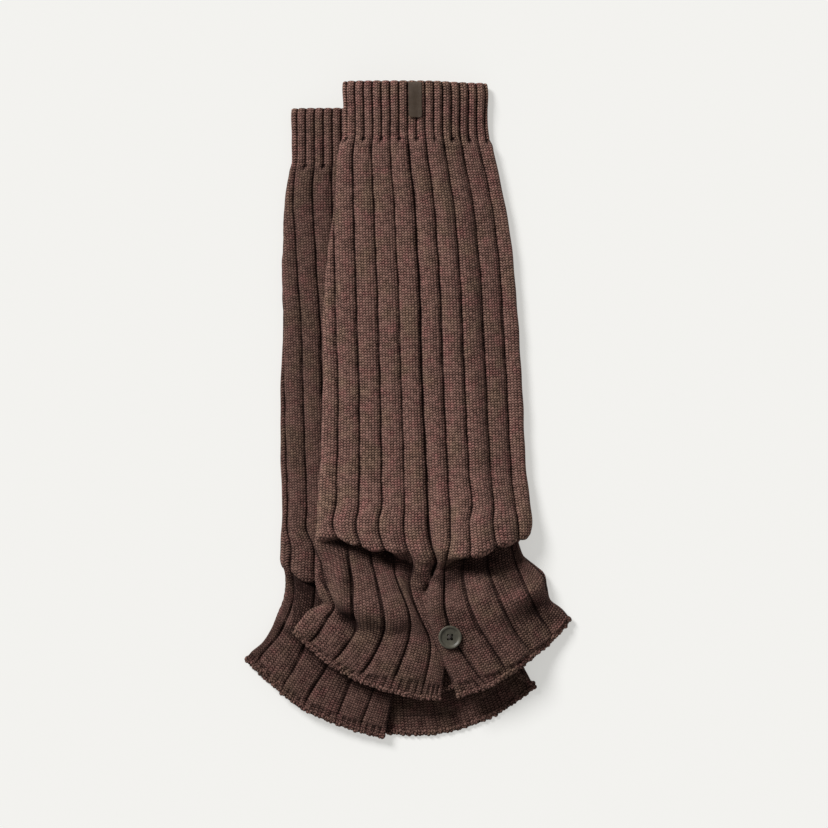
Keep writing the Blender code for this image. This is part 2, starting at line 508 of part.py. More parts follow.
def cloth_piece(garment, part, name, outer_ribs, ribs_per_wide, surface):
    """One piece of a leg warmer; gives back its outer points."""
    closed = garment.tube[part]
    outer_at = list(outer_ribs)
    inner_at = list(INNER)
    if not closed:
        outer_at.append(float(RIBS_AROUND))
        inner_at.append(float(RIBS_AROUND))
    outer, inner = garment.grids(part, outer_at, inner_at, ribs_per_wide)
    wall(name, outer, inner, outer_at, inner_at, closed, surface)
    return outer


def seat_frame(points, centre):
    """The plane fitted to the cloth round a place, raised until it clears that cloth."""
    flat = points.reshape(-1, 3)
    far = np.hypot(flat[:, 0] - centre[0], flat[:, 1] - centre[1])
    near = flat[far < BUTTON_RADIUS + SEAT_MARGIN]
    columns = np.column_stack([near[:, 0] - centre[0], near[:, 1] - centre[1], np.ones(len(near))])
    slope_x, slope_y, level = np.linalg.lstsq(columns, near[:, 2], rcond=None)[0]
    up = np.array([-slope_x, -slope_y, 1.0])
    up /= np.linalg.norm(up)
    on_plane = np.array([centre[0], centre[1], level])
    over = ((near - on_plane) @ up).max()
    return on_plane + up * (over + BUTTON_CLEAR), up


def ring(bm, centre, radius, z, sides):
    """A ring of points and its edges."""
    verts = [bm.verts.new((centre[0] + radius * math.cos(math.tau * n / sides),
                           centre[1] + radius * math.sin(math.tau * n / sides), z)) for n in range(sides)]
    edges = [bm.edges.new((verts[n], verts[(n + 1) % sides])) for n in range(sides)]
    return verts, edges


def join_rings(bm, lower, upper):
    for n in range(len(lower)):
        after = (n + 1) % len(lower)
        bm.faces.new((lower[n], lower[after], upper[after], upper[n]))


def button(name, seat, up, surface):
    """A turned four-hole button with a raised rim, its underside on the seat."""
    bm = bmesh.new()
    dish = BUTTON_THICK - BUTTON_DISH
    rim = BUTTON_RADIUS - BUTTON_RIM
    profile = ((BUTTON_RADIUS - BUTTON_FOOT, 0.0),
               (BUTTON_RADIUS, BUTTON_EDGE[0]),
               (BUTTON_RADIUS, BUTTON_EDGE[1]),
               (BUTTON_RADIUS - BUTTON_SHOULDER, BUTTON_THICK),
               (rim, BUTTON_THICK),
               (rim - BUTTON_SLOPE, dish))
    rings = [ring(bm, (0.0, 0.0), radius, z, BUTTON_SIDES) for radius, z in profile]
    for lower, upper in zip(rings, rings[1:]):
        join_rings(bm, lower[0], upper[0])
    face_edges = {0.0: list(rings[0][1]), dish: list(rings[-1][1])}
    for number in range(4):
        angle = math.tau * (number + 0.5) / 4
        centre = (BUTTON_HOLE_OUT * math.cos(angle), BUTTON_HOLE_OUT * math.sin(angle))
        ends = [ring(bm, centre, BUTTON_HOLE, z, HOLE_SIDES) for z in face_edges]
        join_rings(bm, ends[0][0], ends[1][0])
        for edges, end in zip(face_edges.values(), ends):
            edges += end[1]
    for edges in face_edges.values():
        bmesh.ops.triangle_fill(bm, edges=edges, use_beauty=True)
    across = np.cross((0.0, 1.0, 0.0), up)
    across /= np.linalg.norm(across)
    turn = np.stack([across, np.cross(up, across), up], axis=1)
    for vert in bm.verts:
        vert.co = turn @ np.array(vert.co) + seat
    finish(bm, name, surface)


def blend_rows(rows, place):
    """A row between two of the given rows."""
    low = min(int(place), len(rows) - 2)
    share = place - low
    return rows[low] * (1.0 - share) + rows[low + 1] * share


def label(garment, name, surface):
    """A folded label that lies on the cuff's ribs, a little right of the front seam."""
    first, last = garment.span["cuff"]
    ribs = list(np.linspace(LABEL_FROM_RIB, LABEL_TO_RIB, LABEL_COLUMNS))
    cuff = [garment.surface(index, ribs, True) for index in range(first, last)]
    rows_down = [-row.y_left for row in garment.rows[first:last]]
    over = max(row.rib for row in garment.rows[first:last]) + LABEL_CLEAR
    lower = []
    upper = []
    for drop in LABEL_DROPS:
        down = rows_down[1] + LABEL_LENGTH * drop
        place = np.interp(down, rows_down, range(len(rows_down)))
        points = blend_rows([row[0] for row in cuff], place)
        out = blend_rows([row[1] for row in cuff], place)
        if drop == LABEL_DROPS[-1]:
            points[:, 0] += (points[:, 0].mean() - points[:, 0]) * LABEL_TUCK
        lower.append(points + out * over)
        upper.append(points + out * (over + LABEL_THICK))
    wall(name, np.array(upper), np.array(lower), ribs, ribs, False, surface)


def leg_warmer(side, cuff, leg, fold, flare, hem, base, folds, button_at):
    """All the pieces of one leg warmer."""
    leg_rows = [expand(row) for row in leg] + [Row(*plan, *height) for plan, height in fold]
    flare_rows = [Row(*plan, *height) for plan, height in flare]
    hem_rows = [Row(*plan, *height) for plan, height in hem]
    hem_rows.insert(0, between(flare_rows[-1], hem_rows[0], HEM_GAP_SHARE))
    garment = Garment((("cuff", [expand(row) for row in cuff], True), ("leg", leg_rows, True),
                       ("flare", flare_rows, False), ("hem_band", hem_rows, False)), base, folds)
    cloth = COLOURS[side]
    cloth_piece(garment, "cuff", f"{side}_cuff", FINE_OUTER, 2,
                material(f"{side}_cuff_knit", cloth, 0.95))
    cloth_piece(garment, "leg", f"{side}_leg", WIDE_OUTER, 1, material(f"{side}_leg_knit", cloth, 0.95))
    flare_points = cloth_piece(garment, "flare", f"{side}_flare", WIDE_OUTER, 1,
                               material(f"{side}_flare_knit", cloth, 0.95))
    cloth_piece(garment, "hem_band", f"{side}_hem_band", WIDE_OUTER, 1,
                material(f"{side}_hem_knit", cloth, 0.95))
    on_front = [column for column, rib in enumerate(WIDE_OUTER) if rib < FRONT_RIBS]
    seat, up = seat_frame(flare_points[:, on_front], button_at)
    button(f"{side}_button", seat, up, material(f"{side}_button_plastic", COLOURS["button"], 0.45))
    return garment


def main():
    clear_scene()
    leg_warmer("lower", LOWER_CUFF, LOWER_LEG, LOWER_FOLD, LOWER_FLARE, LOWER_HEM, floor_level,
               LOWER_FOLDS, LOWER_BUTTON)
    upper = leg_warmer("upper", UPPER_CUFF, UPPER_LEG, UPPER_FOLD, UPPER_FLARE, UPPER_HEM, lie_level,
                       UPPER_FOLDS, UPPER_BUTTON)
    label(upper, "upper_label", material("upper_label_satin", COLOURS["label"], 0.4))


main()
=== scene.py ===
# A pair of chunky rib-knit leg warmers, laid flat with one lying on the other.
# Lengths in the dictionaries and tables are in mm. Places round a leg are counted in wide ribs:
# 0 at the front seam, positive to the right, 20 all the way round.
import math

import bmesh
import bpy
import numpy as np
from mathutils import Matrix, Vector


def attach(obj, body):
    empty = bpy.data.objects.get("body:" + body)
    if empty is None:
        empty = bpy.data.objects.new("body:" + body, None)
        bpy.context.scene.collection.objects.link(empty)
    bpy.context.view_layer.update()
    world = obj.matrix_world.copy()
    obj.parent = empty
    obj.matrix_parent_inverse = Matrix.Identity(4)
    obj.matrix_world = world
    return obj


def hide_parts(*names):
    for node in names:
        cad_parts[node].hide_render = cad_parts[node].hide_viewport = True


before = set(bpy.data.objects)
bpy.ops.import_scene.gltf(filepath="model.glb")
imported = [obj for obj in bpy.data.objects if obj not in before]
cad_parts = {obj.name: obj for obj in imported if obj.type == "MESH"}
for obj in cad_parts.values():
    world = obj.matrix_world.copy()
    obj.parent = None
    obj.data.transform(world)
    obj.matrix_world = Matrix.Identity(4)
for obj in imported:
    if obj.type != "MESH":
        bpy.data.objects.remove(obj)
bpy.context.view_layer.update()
print("frame loaded:", len(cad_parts), "nodes")

mm = 0.001
ribsAround = 20
frontRibs = 6                # to each side of the seam, with their points close together
rng = np.random.default_rng(7)

knit = {
    "wall": 2.0,
    # columns of stitches to a wide rib
    "wales": {"cuff": 6, "leg": 7, "flare": 9, "hem": 9},
    "courseHeight": 1.95,    # of one row of stitches
    "ribTop": 0.45,          # ribs stand this far over the valley line
    "ribDip": 1.0,           # and their valleys sink this far under it
    "ribCrown": 2.3,         # ribs are fuller in the middle
    "crownPower": 0.9,
    "fineCrown": 1.38,       # the same for the cuff's fine ribs
    "flareCrown": 0.75,      # ribs are flatter below the slouch, by this factor
    # wide, fine and hem ribs: how many to a wide one, half width of their valleys, and depth
    "valleys": ((1, 0.058, 1.0), (2, 0.0986, 0.95), (4, 0.2, 0.62)),
    "flareValley": {"upper": 1.15, "lower": 0.8},
    "legTopValley": 0.7,     # how deep the wide valleys are where they start, and where the hem's take over
    "hemValley": 0.5,
    "underDip": 0.8,         # valleys of the underside sink into the cloth
    "underFade": 0.7,        # the front's ribs run this far round the side, in ribs
    "innerDip": 0.7,
    # ribs change to the next kind in this length
    "gather": {"leg": 8.0, "flare": 15.0, "hem": 2.5},
    "gatherStep": 1.0,       # rows of faces lie this far apart at the cuff's end
    "pit": {"depth": 2.0, "shift": 0.1, "slant": 0.06, "width": 0.16, "at": 1.5, "reach": 2.4},
    "puff": {"height": 0.5, "at": 5.0, "reach": 3.0},
    "wobble": 0.022,         # valleys wander sideways by this share of a rib, from below the cuff on
    "wobbleWaves": ((1.0, 29.0, 1.3, 0.0), (0.6, 11.0, 4.0, 0.0), (0.7, 4.7, 0.0, 2.3)),
    "wobbleStart": 12.0,
    "wobbleOver": 30.0,
    # from the left to the right, how full and how deep the ribs are and how much painted shade their right
    # sides get
    "crownShares": ((-5.0, -1.0, 1.0, 5.0), (0.72, 0.78, 1.0, 1.0)),
    "sideShares": ((-4.0, -1.0, 0.0, 1.0, 5.0), (0.35, 0.4, 1.5, 1.0, 1.2)),
    "valleyShares": ((-6.0, -4.0, -3.0, -2.0, -1.0, 0.0, 1.0, 2.0, 3.0, 4.0, 5.0),
                     (0.9, 0.85, 1.0, 0.88, 0.72, 1.35, 0.92, 0.75, 0.62, 0.68, 0.9)),
    # slow changes along each rib: how strong, then length of each wave and its turn from rib to rib
    "patches": (0.22, (9.0, 3.7), (3.9, 1.3)),
    "lumps": (0.28, (17.0, 2.399), (6.1, 4.0783)),
    "edgeRound": 1.5,        # open ends are rounded over this length
    "edgeShare": 0.45,       # and lose this share of the wall on each side
    "ribWidth": 17.0,
    "slitStart": 8.0,        # and the slit's edges from this far below the flare's top
    "clear": 0.15,           # the cloth stays this far over what it lies on
    "sideRound": (0.35, 2.5),    # each half is flat up to this share, then round with this power
    "backRound": (0.86, 2.0),
    "backBow": 2.3,          # the power with which the back's end bows
    "tuck": 1.5,             # side edges lie this far inside the outline, and the ribs fill the rest
    "least": 5.0,            # front and back layer together are at least this high
    "foldFade": 4.0,         # a fold begins and ends over this length at its first and last row
    "lobe": 0.8,             # each rib hangs this much lower than its valleys at the slouch
    "lobeMiddle": 0.6,
    "lobeReach": 7.0,
    "foldReach": 8.0,        # painted shade deep in the fold under the slouch, over this length
    "hemShade": 0.7,         # and painted shadow right below the upper hem, this dark
    "hemReach": 6.0,
    "sideShade": 0.3,        # painted shade on the ribs' right sides: how dark, and how far that reaches, in ribs
    "sideReach": 0.17,
    "sideLit": 1.6,          # the valleys' painted shade is narrower on the side that is lit, by this power
    "creasePaintedShade": 0.15,      # painted shade in a crease, for each mm that it sinks
    "underLight": 0.4,       # the underside's valleys get less painted shade, by this share
    # painted shade in the inner wall's valleys, as a share of the outer's; then the most valley depth and the
    # most painted shade
    "innerPaintedShade": 0.5,
    "mostValley": 1.3,
    "mostPaintedShade": 1.4,
}

lie = {
    "height": 11.8,          # the lower leg warmer's top, where the upper one lies
    "slopeStart": 8.0,
    "slopeWidth": 36.0,
    "buttonAt": (-6.5, -179.5),
    "buttonBump": 4.2,
    "buttonBumpWidth": 24.0,
    # right side edge of the lower leg warmer, from its hem up: y, x
    "edge": ((-197.5, 89.5), (-182.0, 83.0), (-165.0, 73.0), (-144.5, 65.0), (-129.0, 56.0), (-114.0, 48.0),
             (-98.0, 51.8), (-68.0, 49.5), (7.5, 44.0), (94.0, 36.5), (148.5, 29.0), (178.0, 21.2),
             (236.0, 20.4)),
}


def smoothStep(value):
    t = np.clip(value, 0.0, 1.0)
    return t * t * (3.0 - 2.0 * t)


def bell(distance, width):
    return np.exp(-(distance / width) ** 2)


def smoothAlong(known, values, places):
    # a smooth curve through the values, which run along the first axis
    known = np.asarray(known, float)
    values = np.asarray(values, float)
    slopes = np.gradient(values, known, axis=0)
    cell = np.clip(np.searchsorted(known, places, side="right") - 1, 0, len(known) - 2)
    shape = (-1,) + (1,) * (values.ndim - 1)
    step = (known[cell + 1] - known[cell]).reshape(shape)
    t = np.clip((places - known[cell]).reshape(shape) / step, 0.0, 1.0)
    return ((1 + 2 * t) * (1 - t) ** 2 * values[cell] + t * (1 - t) ** 2 * step * slopes[cell]
            + t * t * (3 - 2 * t) * values[cell + 1] - t * t * (1 - t) * step * slopes[cell + 1])


def through(seam, mid, edge, g):
    # a parabola through the values at the seam, halfway and at the edge
    return seam * (1 - g) * (1 - 2 * g) + mid * 4 * g * (1 - g) + edge * g * (2 * g - 1)


def rounding(g, flat, power):
    out = np.clip((g - flat) / (1 - flat), 0.0, 1.0)
    return (1 - out ** power) ** (1 / power)


def floorLevel(x, y):
    return np.zeros_like(x)


def lieLevel(x, y):
    down = smoothStep((x - np.interp(y, *zip(*lie["edge"])) + lie["slopeStart"]) / lie["slopeWidth"])
    fromButton = np.hypot(x - lie["buttonAt"][0], y - lie["buttonAt"][1])
    return (lie["height"] + lie["buttonBump"] * bell(fromButton, lie["buttonBumpWidth"])) * (1 - down)


halfShares = np.sin(np.linspace(0.0, math.pi / 2, 61))


def straightHalf(row, side):
    # one half of a straight row's front, with the ribs spaced evenly along the cloth
    y, sag, xLeft, xSeam, xRight, hLeft, hMidLeft, hSeam, hMidRight, hRight = row[:10]
    xEdge, hMid, hEdge = (xLeft, hMidLeft, hLeft) if side == "left" else (xRight, hMidRight, hRight)
    x = xSeam + (xEdge - xSeam) * halfShares
    z = through(hSeam, hMid, hEdge, halfShares) * (0.5 + 0.5 * rounding(halfShares, *knit["sideRound"]))
    run = np.concatenate([[0.0], np.cumsum(np.hypot(np.diff(x), np.diff(z)))])
    g = np.interp(halfShares, run / run[-1], halfShares)
    return np.stack([xSeam + (xEdge - xSeam) * g, through(y - sag, y - sag, y, g),
                     through(hSeam, hMid, hEdge, g)], axis=1)


def netHalf(garment, row, side):
    # one half of a foot row, through the places of its valleys
    plain, heights, x, y = row
    split = len(garment["valleys"]["left"]) + 2
    if side == "left":
        kEdge, x, y, heights = -plain[0], x[:split][::-1], y[:split][::-1], heights[:3]
    else:
        kEdge, x, y, heights = plain[1], x[split:], y[split:], heights[:2:-1]
    known = (0.0, *garment["valleys"][side], kEdge)
    hEdge, hMid, hSeam = heights
    return np.stack([smoothAlong(known, x, halfShares * kEdge), smoothAlong(known, y, halfShares * kEdge),
                     through(hSeam, hMid, hEdge, halfShares)], axis=1)


def layOut(garment):
    # all the control rows of a garment from the cuff down: the front's points, and the plain numbers
    # ribs at the left and right edge, rib depth and y of the back
    fronts = [np.concatenate([straightHalf(row, "left"), straightHalf(row, "right")])
              for row in garment["straight"]]
    fronts += [np.concatenate([netHalf(garment, row, "left"), netHalf(garment, row, "right")])
               for row in garment["foot"]]
    plain = [(*row[10:], row[0]) for row in garment["straight"]] + [row[0] for row in garment["foot"]]
    return np.array(fronts), np.array(plain)


def foldLift(garment, place, x, y):
    # single swellings and creases, each between two of the control rows
    lift = np.zeros_like(x)
    for xAt, yAt, turn, width, length, height, firstRow, lastRow in garment["folds"]:
        first, last = garment["station"][firstRow], garment["station"][lastRow]
        if first <= place <= last:
            angle = math.radians(turn)
            along = (x - xAt) * math.cos(angle) + (y - yAt) * math.sin(angle)
            beside = (y - yAt) * math.cos(angle) - (x - xAt) * math.sin(angle)
            fade = smoothStep((place - first) / knit["foldFade"])
            fade *= smoothStep((last - place) / knit["foldFade"])
            lift = lift + fade * height * bell(along, length) * bell(beside, width)
    return lift


def frontHalf(garment, place, points):
    # the front's points of one half at their full height, folds included
    x, y, h = points.T
    g = np.clip((x - x[0]) / (x[-1] - x[0]), 0.0, 1.0)
    x = x - g * knit["tuck"] * np.sign(x[-1] - x[0])
    top = rounding(g, *knit["sideRound"])
    high = np.maximum(h + foldLift(garment, place, x, y) * top, knit["least"])
    return np.stack([x, y, garment["base"](x, y) + high * (0.5 + 0.5 * top)], axis=1)


def denseRows(garment):
    # many rows, each with its outline all round; spans hold the row distance asked for in each piece
    fronts, plain = layOut(garment)
    apart = np.linalg.norm(np.diff(fronts, axis=0), axis=2).mean(axis=1)
    station = np.concatenate([[0.0], np.cumsum(apart)])
    garment["station"] = station
    places, ends = [0.0], []
    for first, last, step in garment["spans"]:
        for number in range(first, last):
            near = knit["gatherStep"] if number == garment["spans"][0][1] else step
            count = max(1, int(math.ceil((station[number + 1] - station[number]) / near)))
            places.extend(np.linspace(station[number], station[number + 1], count + 1)[1:])
        ends.append(len(places) - 1)
    places = np.array(places)
    fronts = smoothAlong(station, fronts, places)
    plain = smoothAlong(station, plain, places)
    across = np.sin(np.linspace(math.pi / 2, -math.pi / 2, 121))
    share = 0.5 + 0.5 * across
    outlines = []
    for place, front, (kLeft, kRight, rib, yBack) in zip(places, fronts, plain):
        left, right = np.split(front, 2)
        sides = [frontHalf(garment, place, points) for points in (left, right)]
        (xLeft, yLeft), (xRight, yRight) = sides[0][-1, :2], sides[1][-1, :2]
        xBack = xLeft + (xRight - xLeft) * share
        bow = (yBack - 0.5 * (yLeft + yRight)) * (1 - np.abs(across) ** knit["backBow"])
        yRow = yLeft + (yRight - yLeft) * share + bow
        halfHeight = 0.5 * (left[-1, 2] + (right[-1, 2] - left[-1, 2]) * share)
        low = halfHeight * (1 - rounding(np.abs(across), *knit["backRound"]))
        back = np.stack([xBack, yRow, garment["base"](xBack, yRow) + low], axis=1)
        run = np.concatenate([[0.0], np.cumsum(np.linalg.norm(np.diff(back[:, ::2], axis=0), axis=1))])
        backRibs = kRight + (ribsAround + kLeft - kRight) * run / run[-1]
        ribs = np.concatenate([kRight * halfShares, backRibs[1:],
                               (ribsAround + kLeft * halfShares)[::-1][1:]])
        outlines.append((ribs, np.concatenate([sides[1], back[1:], sides[0][::-1][1:]])))
    return {"places": places, "outlines": outlines, "ends": ends,
            "kLeft": plain[:, 0], "kRight": plain[:, 1], "rib": plain[:, 2]}


def surfaceOf(rows, columns, closed):
    # points and outward directions of the plain cloth at these rib places, for every row
    points = np.array([np.stack([np.interp(columns, ribs, outline[:, axis]) for axis in range(3)], axis=1)
                       for ribs, outline in rows["outlines"]])
    if closed:
        wrapped = np.concatenate([points[:, -2:-1], points, points[:, 1:2]], axis=1)
        around = wrapped[:, 2:] - wrapped[:, :-2]
    else:
        around = np.gradient(points, axis=1)
    out = np.cross(np.gradient(points, axis=0), around)
    return points, out / (np.linalg.norm(out, axis=2, keepdims=True) + 1e-12)


print("maths ready")

# Straight rows: y, sag of the middle, x of left edge, seam and right edge,
# heights at left, mid left, seam, mid right and right, ribs at the left and right edge, rib depth.
# Foot rows: ribs at the left and right edge, rib depth and y of the back; the heights at left, mid left,
# seam left, seam right, mid right and right; x and then y of the left edge, the valleys and the seam's
# left side, and on from its right side to the right edge.
upper = {
    "side": "upper",
    "base": lieLevel,
    "straight": [
        (236.7, 0, -47.2, -1, 56.4, 9.7, 10.1, 10.1, 10.1, 9.7, -3.7, 4.65, 0.8),
        (235.3, 0, -47.4, -1, 56.6, 10, 10.4, 10.4, 10.4, 10, -3.7, 4.65, 0.9),
        (216, 0, -47.2, -0.8, 57, 10, 10.2, 10.2, 10.2, 10, -3.7, 4.65, 0.9),
        (196.8, 0, -47.6, -0.5, 58, 9.6, 9.6, 9.6, 9.6, 9.6, -3.72, 4.65, 0.7),
        (187.5, 0, -50.5, 0.2, 60, 10.2, 10.4, 10.2, 10.4, 10.2, -3.8, 4.64, 1),
        (171.5, 0, -52.5, 1.5, 63.5, 10.4, 10.6, 10.4, 10.6, 10.4, -3.88, 4.62, 1),
        (148.5, 0, -54.5, 4, 68.5, 10.4, 10.6, 10.4, 10.6, 10.4, -4, 4.62, 1),
        (114, 0, -58, 6, 73.6, 10.4, 10.6, 10.4, 10.6, 10.4, -4.28, 4.62, 1),
        (72.5, 0, -61, 8.5, 77.2, 10.4, 10.6, 10.4, 10.6, 10.4, -4.54, 4.64, 1),
        (22, 0, -61.5, 9.5, 80.5, 10.4, 10.6, 10.4, 10.6, 10.4, -4.7, 4.64, 1),
        (-21, 0, -63, 11.5, 82.5, 10.8, 11.2, 10.8, 11.2, 10.8, -4.76, 4.66, 1),
        (-50, 0.5, -65, 12.5, 84.5, 11.8, 13, 12, 13.2, 12.4, -4.82, 4.7, 1),
        (-68, 1.5, -66, 13.5, 87, 13.2, 16.4, 13.8, 18.4, 15.4, -4.86, 4.74, 1),
    ],
    "slouchRow": 15,
    # painted shade deep in the fold: places across, how dark, and at which control row
    "foldShade": ((-70, -40, 0, 14, 30, 66, 76), (0.1, 0.6, 0.8, 0.3, 1, 0.8, 0.1),
                  (18.8, 18.9, 19, 19.4, 19.9, 19.8, 19.3)),
    "valleys": {"left": (1, 2, 3, 4), "right": (1, 2, 3, 4)},
    "foot": [
        ((-4.9, 4.76, 1, -79), (13.8, 18.4, 14.8, 14.8, 22, 17.6),
         (-66.6, -55.8, -38.5, -22, -4, 14, 14, 29.9, 43.6, 60.8, 79.6, 88.6),
         (-77.7, -77.8, -78.2, -78.8, -80, -81.6, -81.6, -80.7, -79.8, -79.1, -78.4, -77.9)),
        ((-4.9, 4.78, 1, -86), (13.6, 19, 15, 15, 24, 17.8),
         (-67.7, -55.1, -37.8, -21.2, -2.9, 16.2, 16.2, 29.9, 44.3, 62.3, 80, 88.2),
         (-84.8, -84.4, -87, -89.2, -91.7, -94, -94, -92.5, -92.5, -89.6, -85.6, -84.5)),
        ((-4.92, 4.8, 0.95, -90.5), (13.6, 19.4, 15.4, 15.4, 25, 18),
         (-68.4, -52.5, -34.9, -17.6, -1.1, 17.6, 17.6, 28.4, 44.3, 63.7, 79.6, 87),
         (-88.7, -88.9, -95.4, -98.6, -98.7, -99.7, -99.7, -99.1, -103.2, -96.8, -91.6, -88)),
        ((-4.95, 4.82, 0.85, -94), (12.6, 16.4, 14.4, 14.4, 21.6, 16.8),
         (-68.8, -51.4, -34.2, -15.5, 1.1, 20, 20, 27.4, 42.8, 62.3, 77.8, 84.2),
         (-90.9, -88.7, -94.1, -98.3, -103, -105.5, -105.5, -104.2, -100, -93.2, -89.8, -89.8)),
        ((-4.98, 4.85, 0.65, -97.5), (10.2, 11, 10.4, 10.4, 12, 11.4),
         (-69, -49.2, -32, -13.3, 2.2, 19.8, 19.8, 26.3, 40.7, 59.4, 75.4, 81),
         (-93.2, -88.1, -92.5, -98.5, -107.2, -109.8, -109.8, -108, -95.7, -88.7, -87.6, -91.7)),
        ((-5, 4.88, 0.45, -101), (9, 6, 9.8, 9.8, 6.4, 11),
         (-69, -47.4, -29.9, -12.2, 2.2, 18, 18, 25.9, 40, 58, 74.6, 79.4),
         (-95.5, -89.2, -93.6, -101.2, -110.8, -113.2, -113.2, -111.1, -97.1, -90.1, -89.2, -94.3)),
        ((-5.02, 4.92, 0.5, -104.4), (9, 5.2, 8.4, 11, 6.6, 11),
         (-69, -45.6, -28.4, -11.2, 1.4, 17.2, 17.4, 25.9, 40, 57.6, 75.4, 80.6),
         (-99.8, -95.5, -99.9, -107.5, -115.7, -117, -116.6, -115.1, -103.8, -97.8, -95.6, -98.4)),
        ((-5.08, 4.96, 0.8, -110), (9.8, 8.2, 8.2, 12, 8.4, 12.4),
         (-66.4, -43.6, -26.4, -10.4, 0.6, 19.4, 14.6, 25.9, 39.6, 57.8, 77.8, 84.4),
         (-108, -106.8, -110.6, -115.4, -122.6, -122.6, -122, -121.4, -114.4, -110.4, -107.4, -104.6)),
        ((-5.25, 5, 1, -120.5), (11, 13.4, 8.2, 12.6, 13, 14),
         (-67.6, -41.4, -22.6, -7, 2, 23, 13, 25.9, 40.8, 60.8, 83.4, 93.2),
         (-119, -120.6, -124.4, -124.6, -131, -131, -129.4, -130.4, -125, -121.4, -120.4, -112.4)),
        ((-5.5, 5, 1, -131.5), (11.4, 17.4, 8.4, 13.4, 18, 14),
         (-65.6, -41, -19.4, -2.4, 5.6, 26.2, 12.8, 26.4, 43.8, 66.2, 88.4, 99),
         (-129.6, -132.6, -137, -136, -141.6, -139.6, -138, -140.6, -137.4, -134, -131.8, -117.8)),
        ((-5.6, 5, 1, -143), (11.6, 17.6, 8.2, 13.2, 17.6, 12.4),
         (-61.6, -40.4, -18, 0.6, 10.6, 28.2, 13.6, 28.4, 48.4, 70.6, 92.4, 100.4),
         (-138, -143, -148.6, -146.6, -152, -149, -147.6, -150, -148, -143.6, -140.6, -126)),
        ((-5.62, 5, 1, -155), (13.6, 11.4, 7.9, 12.3, 14.6, 9.6),
         (-72.5, -39.4, -19.8, 0.4, 15.2, 28.6, 16, 32, 54, 75, 97, 103.6),
         (-143.6, -156.4, -161.6, -158.6, -165, -160.6, -159.6, -161.6, -159.4, -153.6, -149, -135.6)),
        ((-5.64, 5, 1, -170), (14, 10.8, 7.6, 11.4, 13, 8),
         (-78.6, -46, -26, -3.6, 14.6, 27.2, 21.6, 39, 61, 81, 101.4, 112),
         (-150.6, -167.4, -174.6, -171.4, -178, -175.6, -174, -174, -170.6, -162.6, -155.6, -141.4)),
        ((-5.65, 5, 1, -186), (13, 10.4, 7.2, 10, 11.8, 7.2),
         (-82.6, -53.6, -34.2, -9.7, 11, 24.8, 30.2, 49.6, 68.6, 87.4, 104.2, 117.2),
         (-155.4, -176.4, -186, -187.8, -192.2, -194.6, -193.4, -189, -182.6, -171.6, -161, -147.4)),
        ((-5.65, 5, 0.8, -201), (12, 9.4, 6.8, 9, 10.4, 6.8),
         (-85, -59.6, -39.2, -14.8, 7.6, 23, 34.6, 57.2, 71.6, 90.4, 106.6, 119.2),
         (-158.5, -180.2, -192.6, -201, -206, -207.4, -205.2, -197.8, -189.7, -176.8, -164.2, -149.9)),
    ],
    # single swellings and creases: x, y, turn, width, length, height, first and last control row
    "folds": [
        (-50, -133.5, -33, 4.2, 13, 4.6, 19, 27),
        (-44, -146.8, -45, 3.8, 11, -9, 19, 27),
        (-53, -155, -42, 4, 14, 3.2, 20, 27),
        (-49.3, -118.8, -85, 4.2, 14, 3.4, 17, 24),
        (-41.6, -121, -85, 2.2, 13, -3.6, 17, 25),
        (-58.5, -121, -80, 2.2, 10, -3.4, 18, 24),
        (85.3, -131, 31, 4.2, 15, 5.2, 18, 27),
        (92.5, -141, 31, 6.6, 15, -6.5, 19, 27),
        (36, -160, 0, 14, 12, -2.1, 20, 27),
        (104, -148.5, 31, 7, 16, -2.2, 20, 27),
        (-34, -138.5, -11, 6.5, 26, 2.6, 19, 27),
        (-34, -153, -11, 6, 25, -3.6, 19, 27),
        (70, -118.5, 16, 4.5, 22, 2.4, 18, 26),
        (19.5, -135, 84, 5.5, 15, 3.8, 18, 26),
        (13, -126.5, 62, 2.6, 6, -4.6, 18, 25),
        (5.5, -119, 82, 7, 15, 2.4, 16, 26),
        (-1.4, -107.5, -72, 3, 8, -5, 15, 22),
        (-15.8, -103.5, -30, 3.6, 7, -5, 16, 21),
        (-47, -95, -14, 3.6, 11, -5, 16, 20),
        (18.2, -110, 80, 2.6, 6, -4.6, 15, 21),
        (-34, -152, 75, 5, 18, 1.6, 20, 27),
    ],
    # pieces: first and last control row, and the distance of their rows
    "spans": [(0, 3, 1.3), (3, 18, 1.9), (18, 26, 1.5), (26, 27, 0.7)],
}

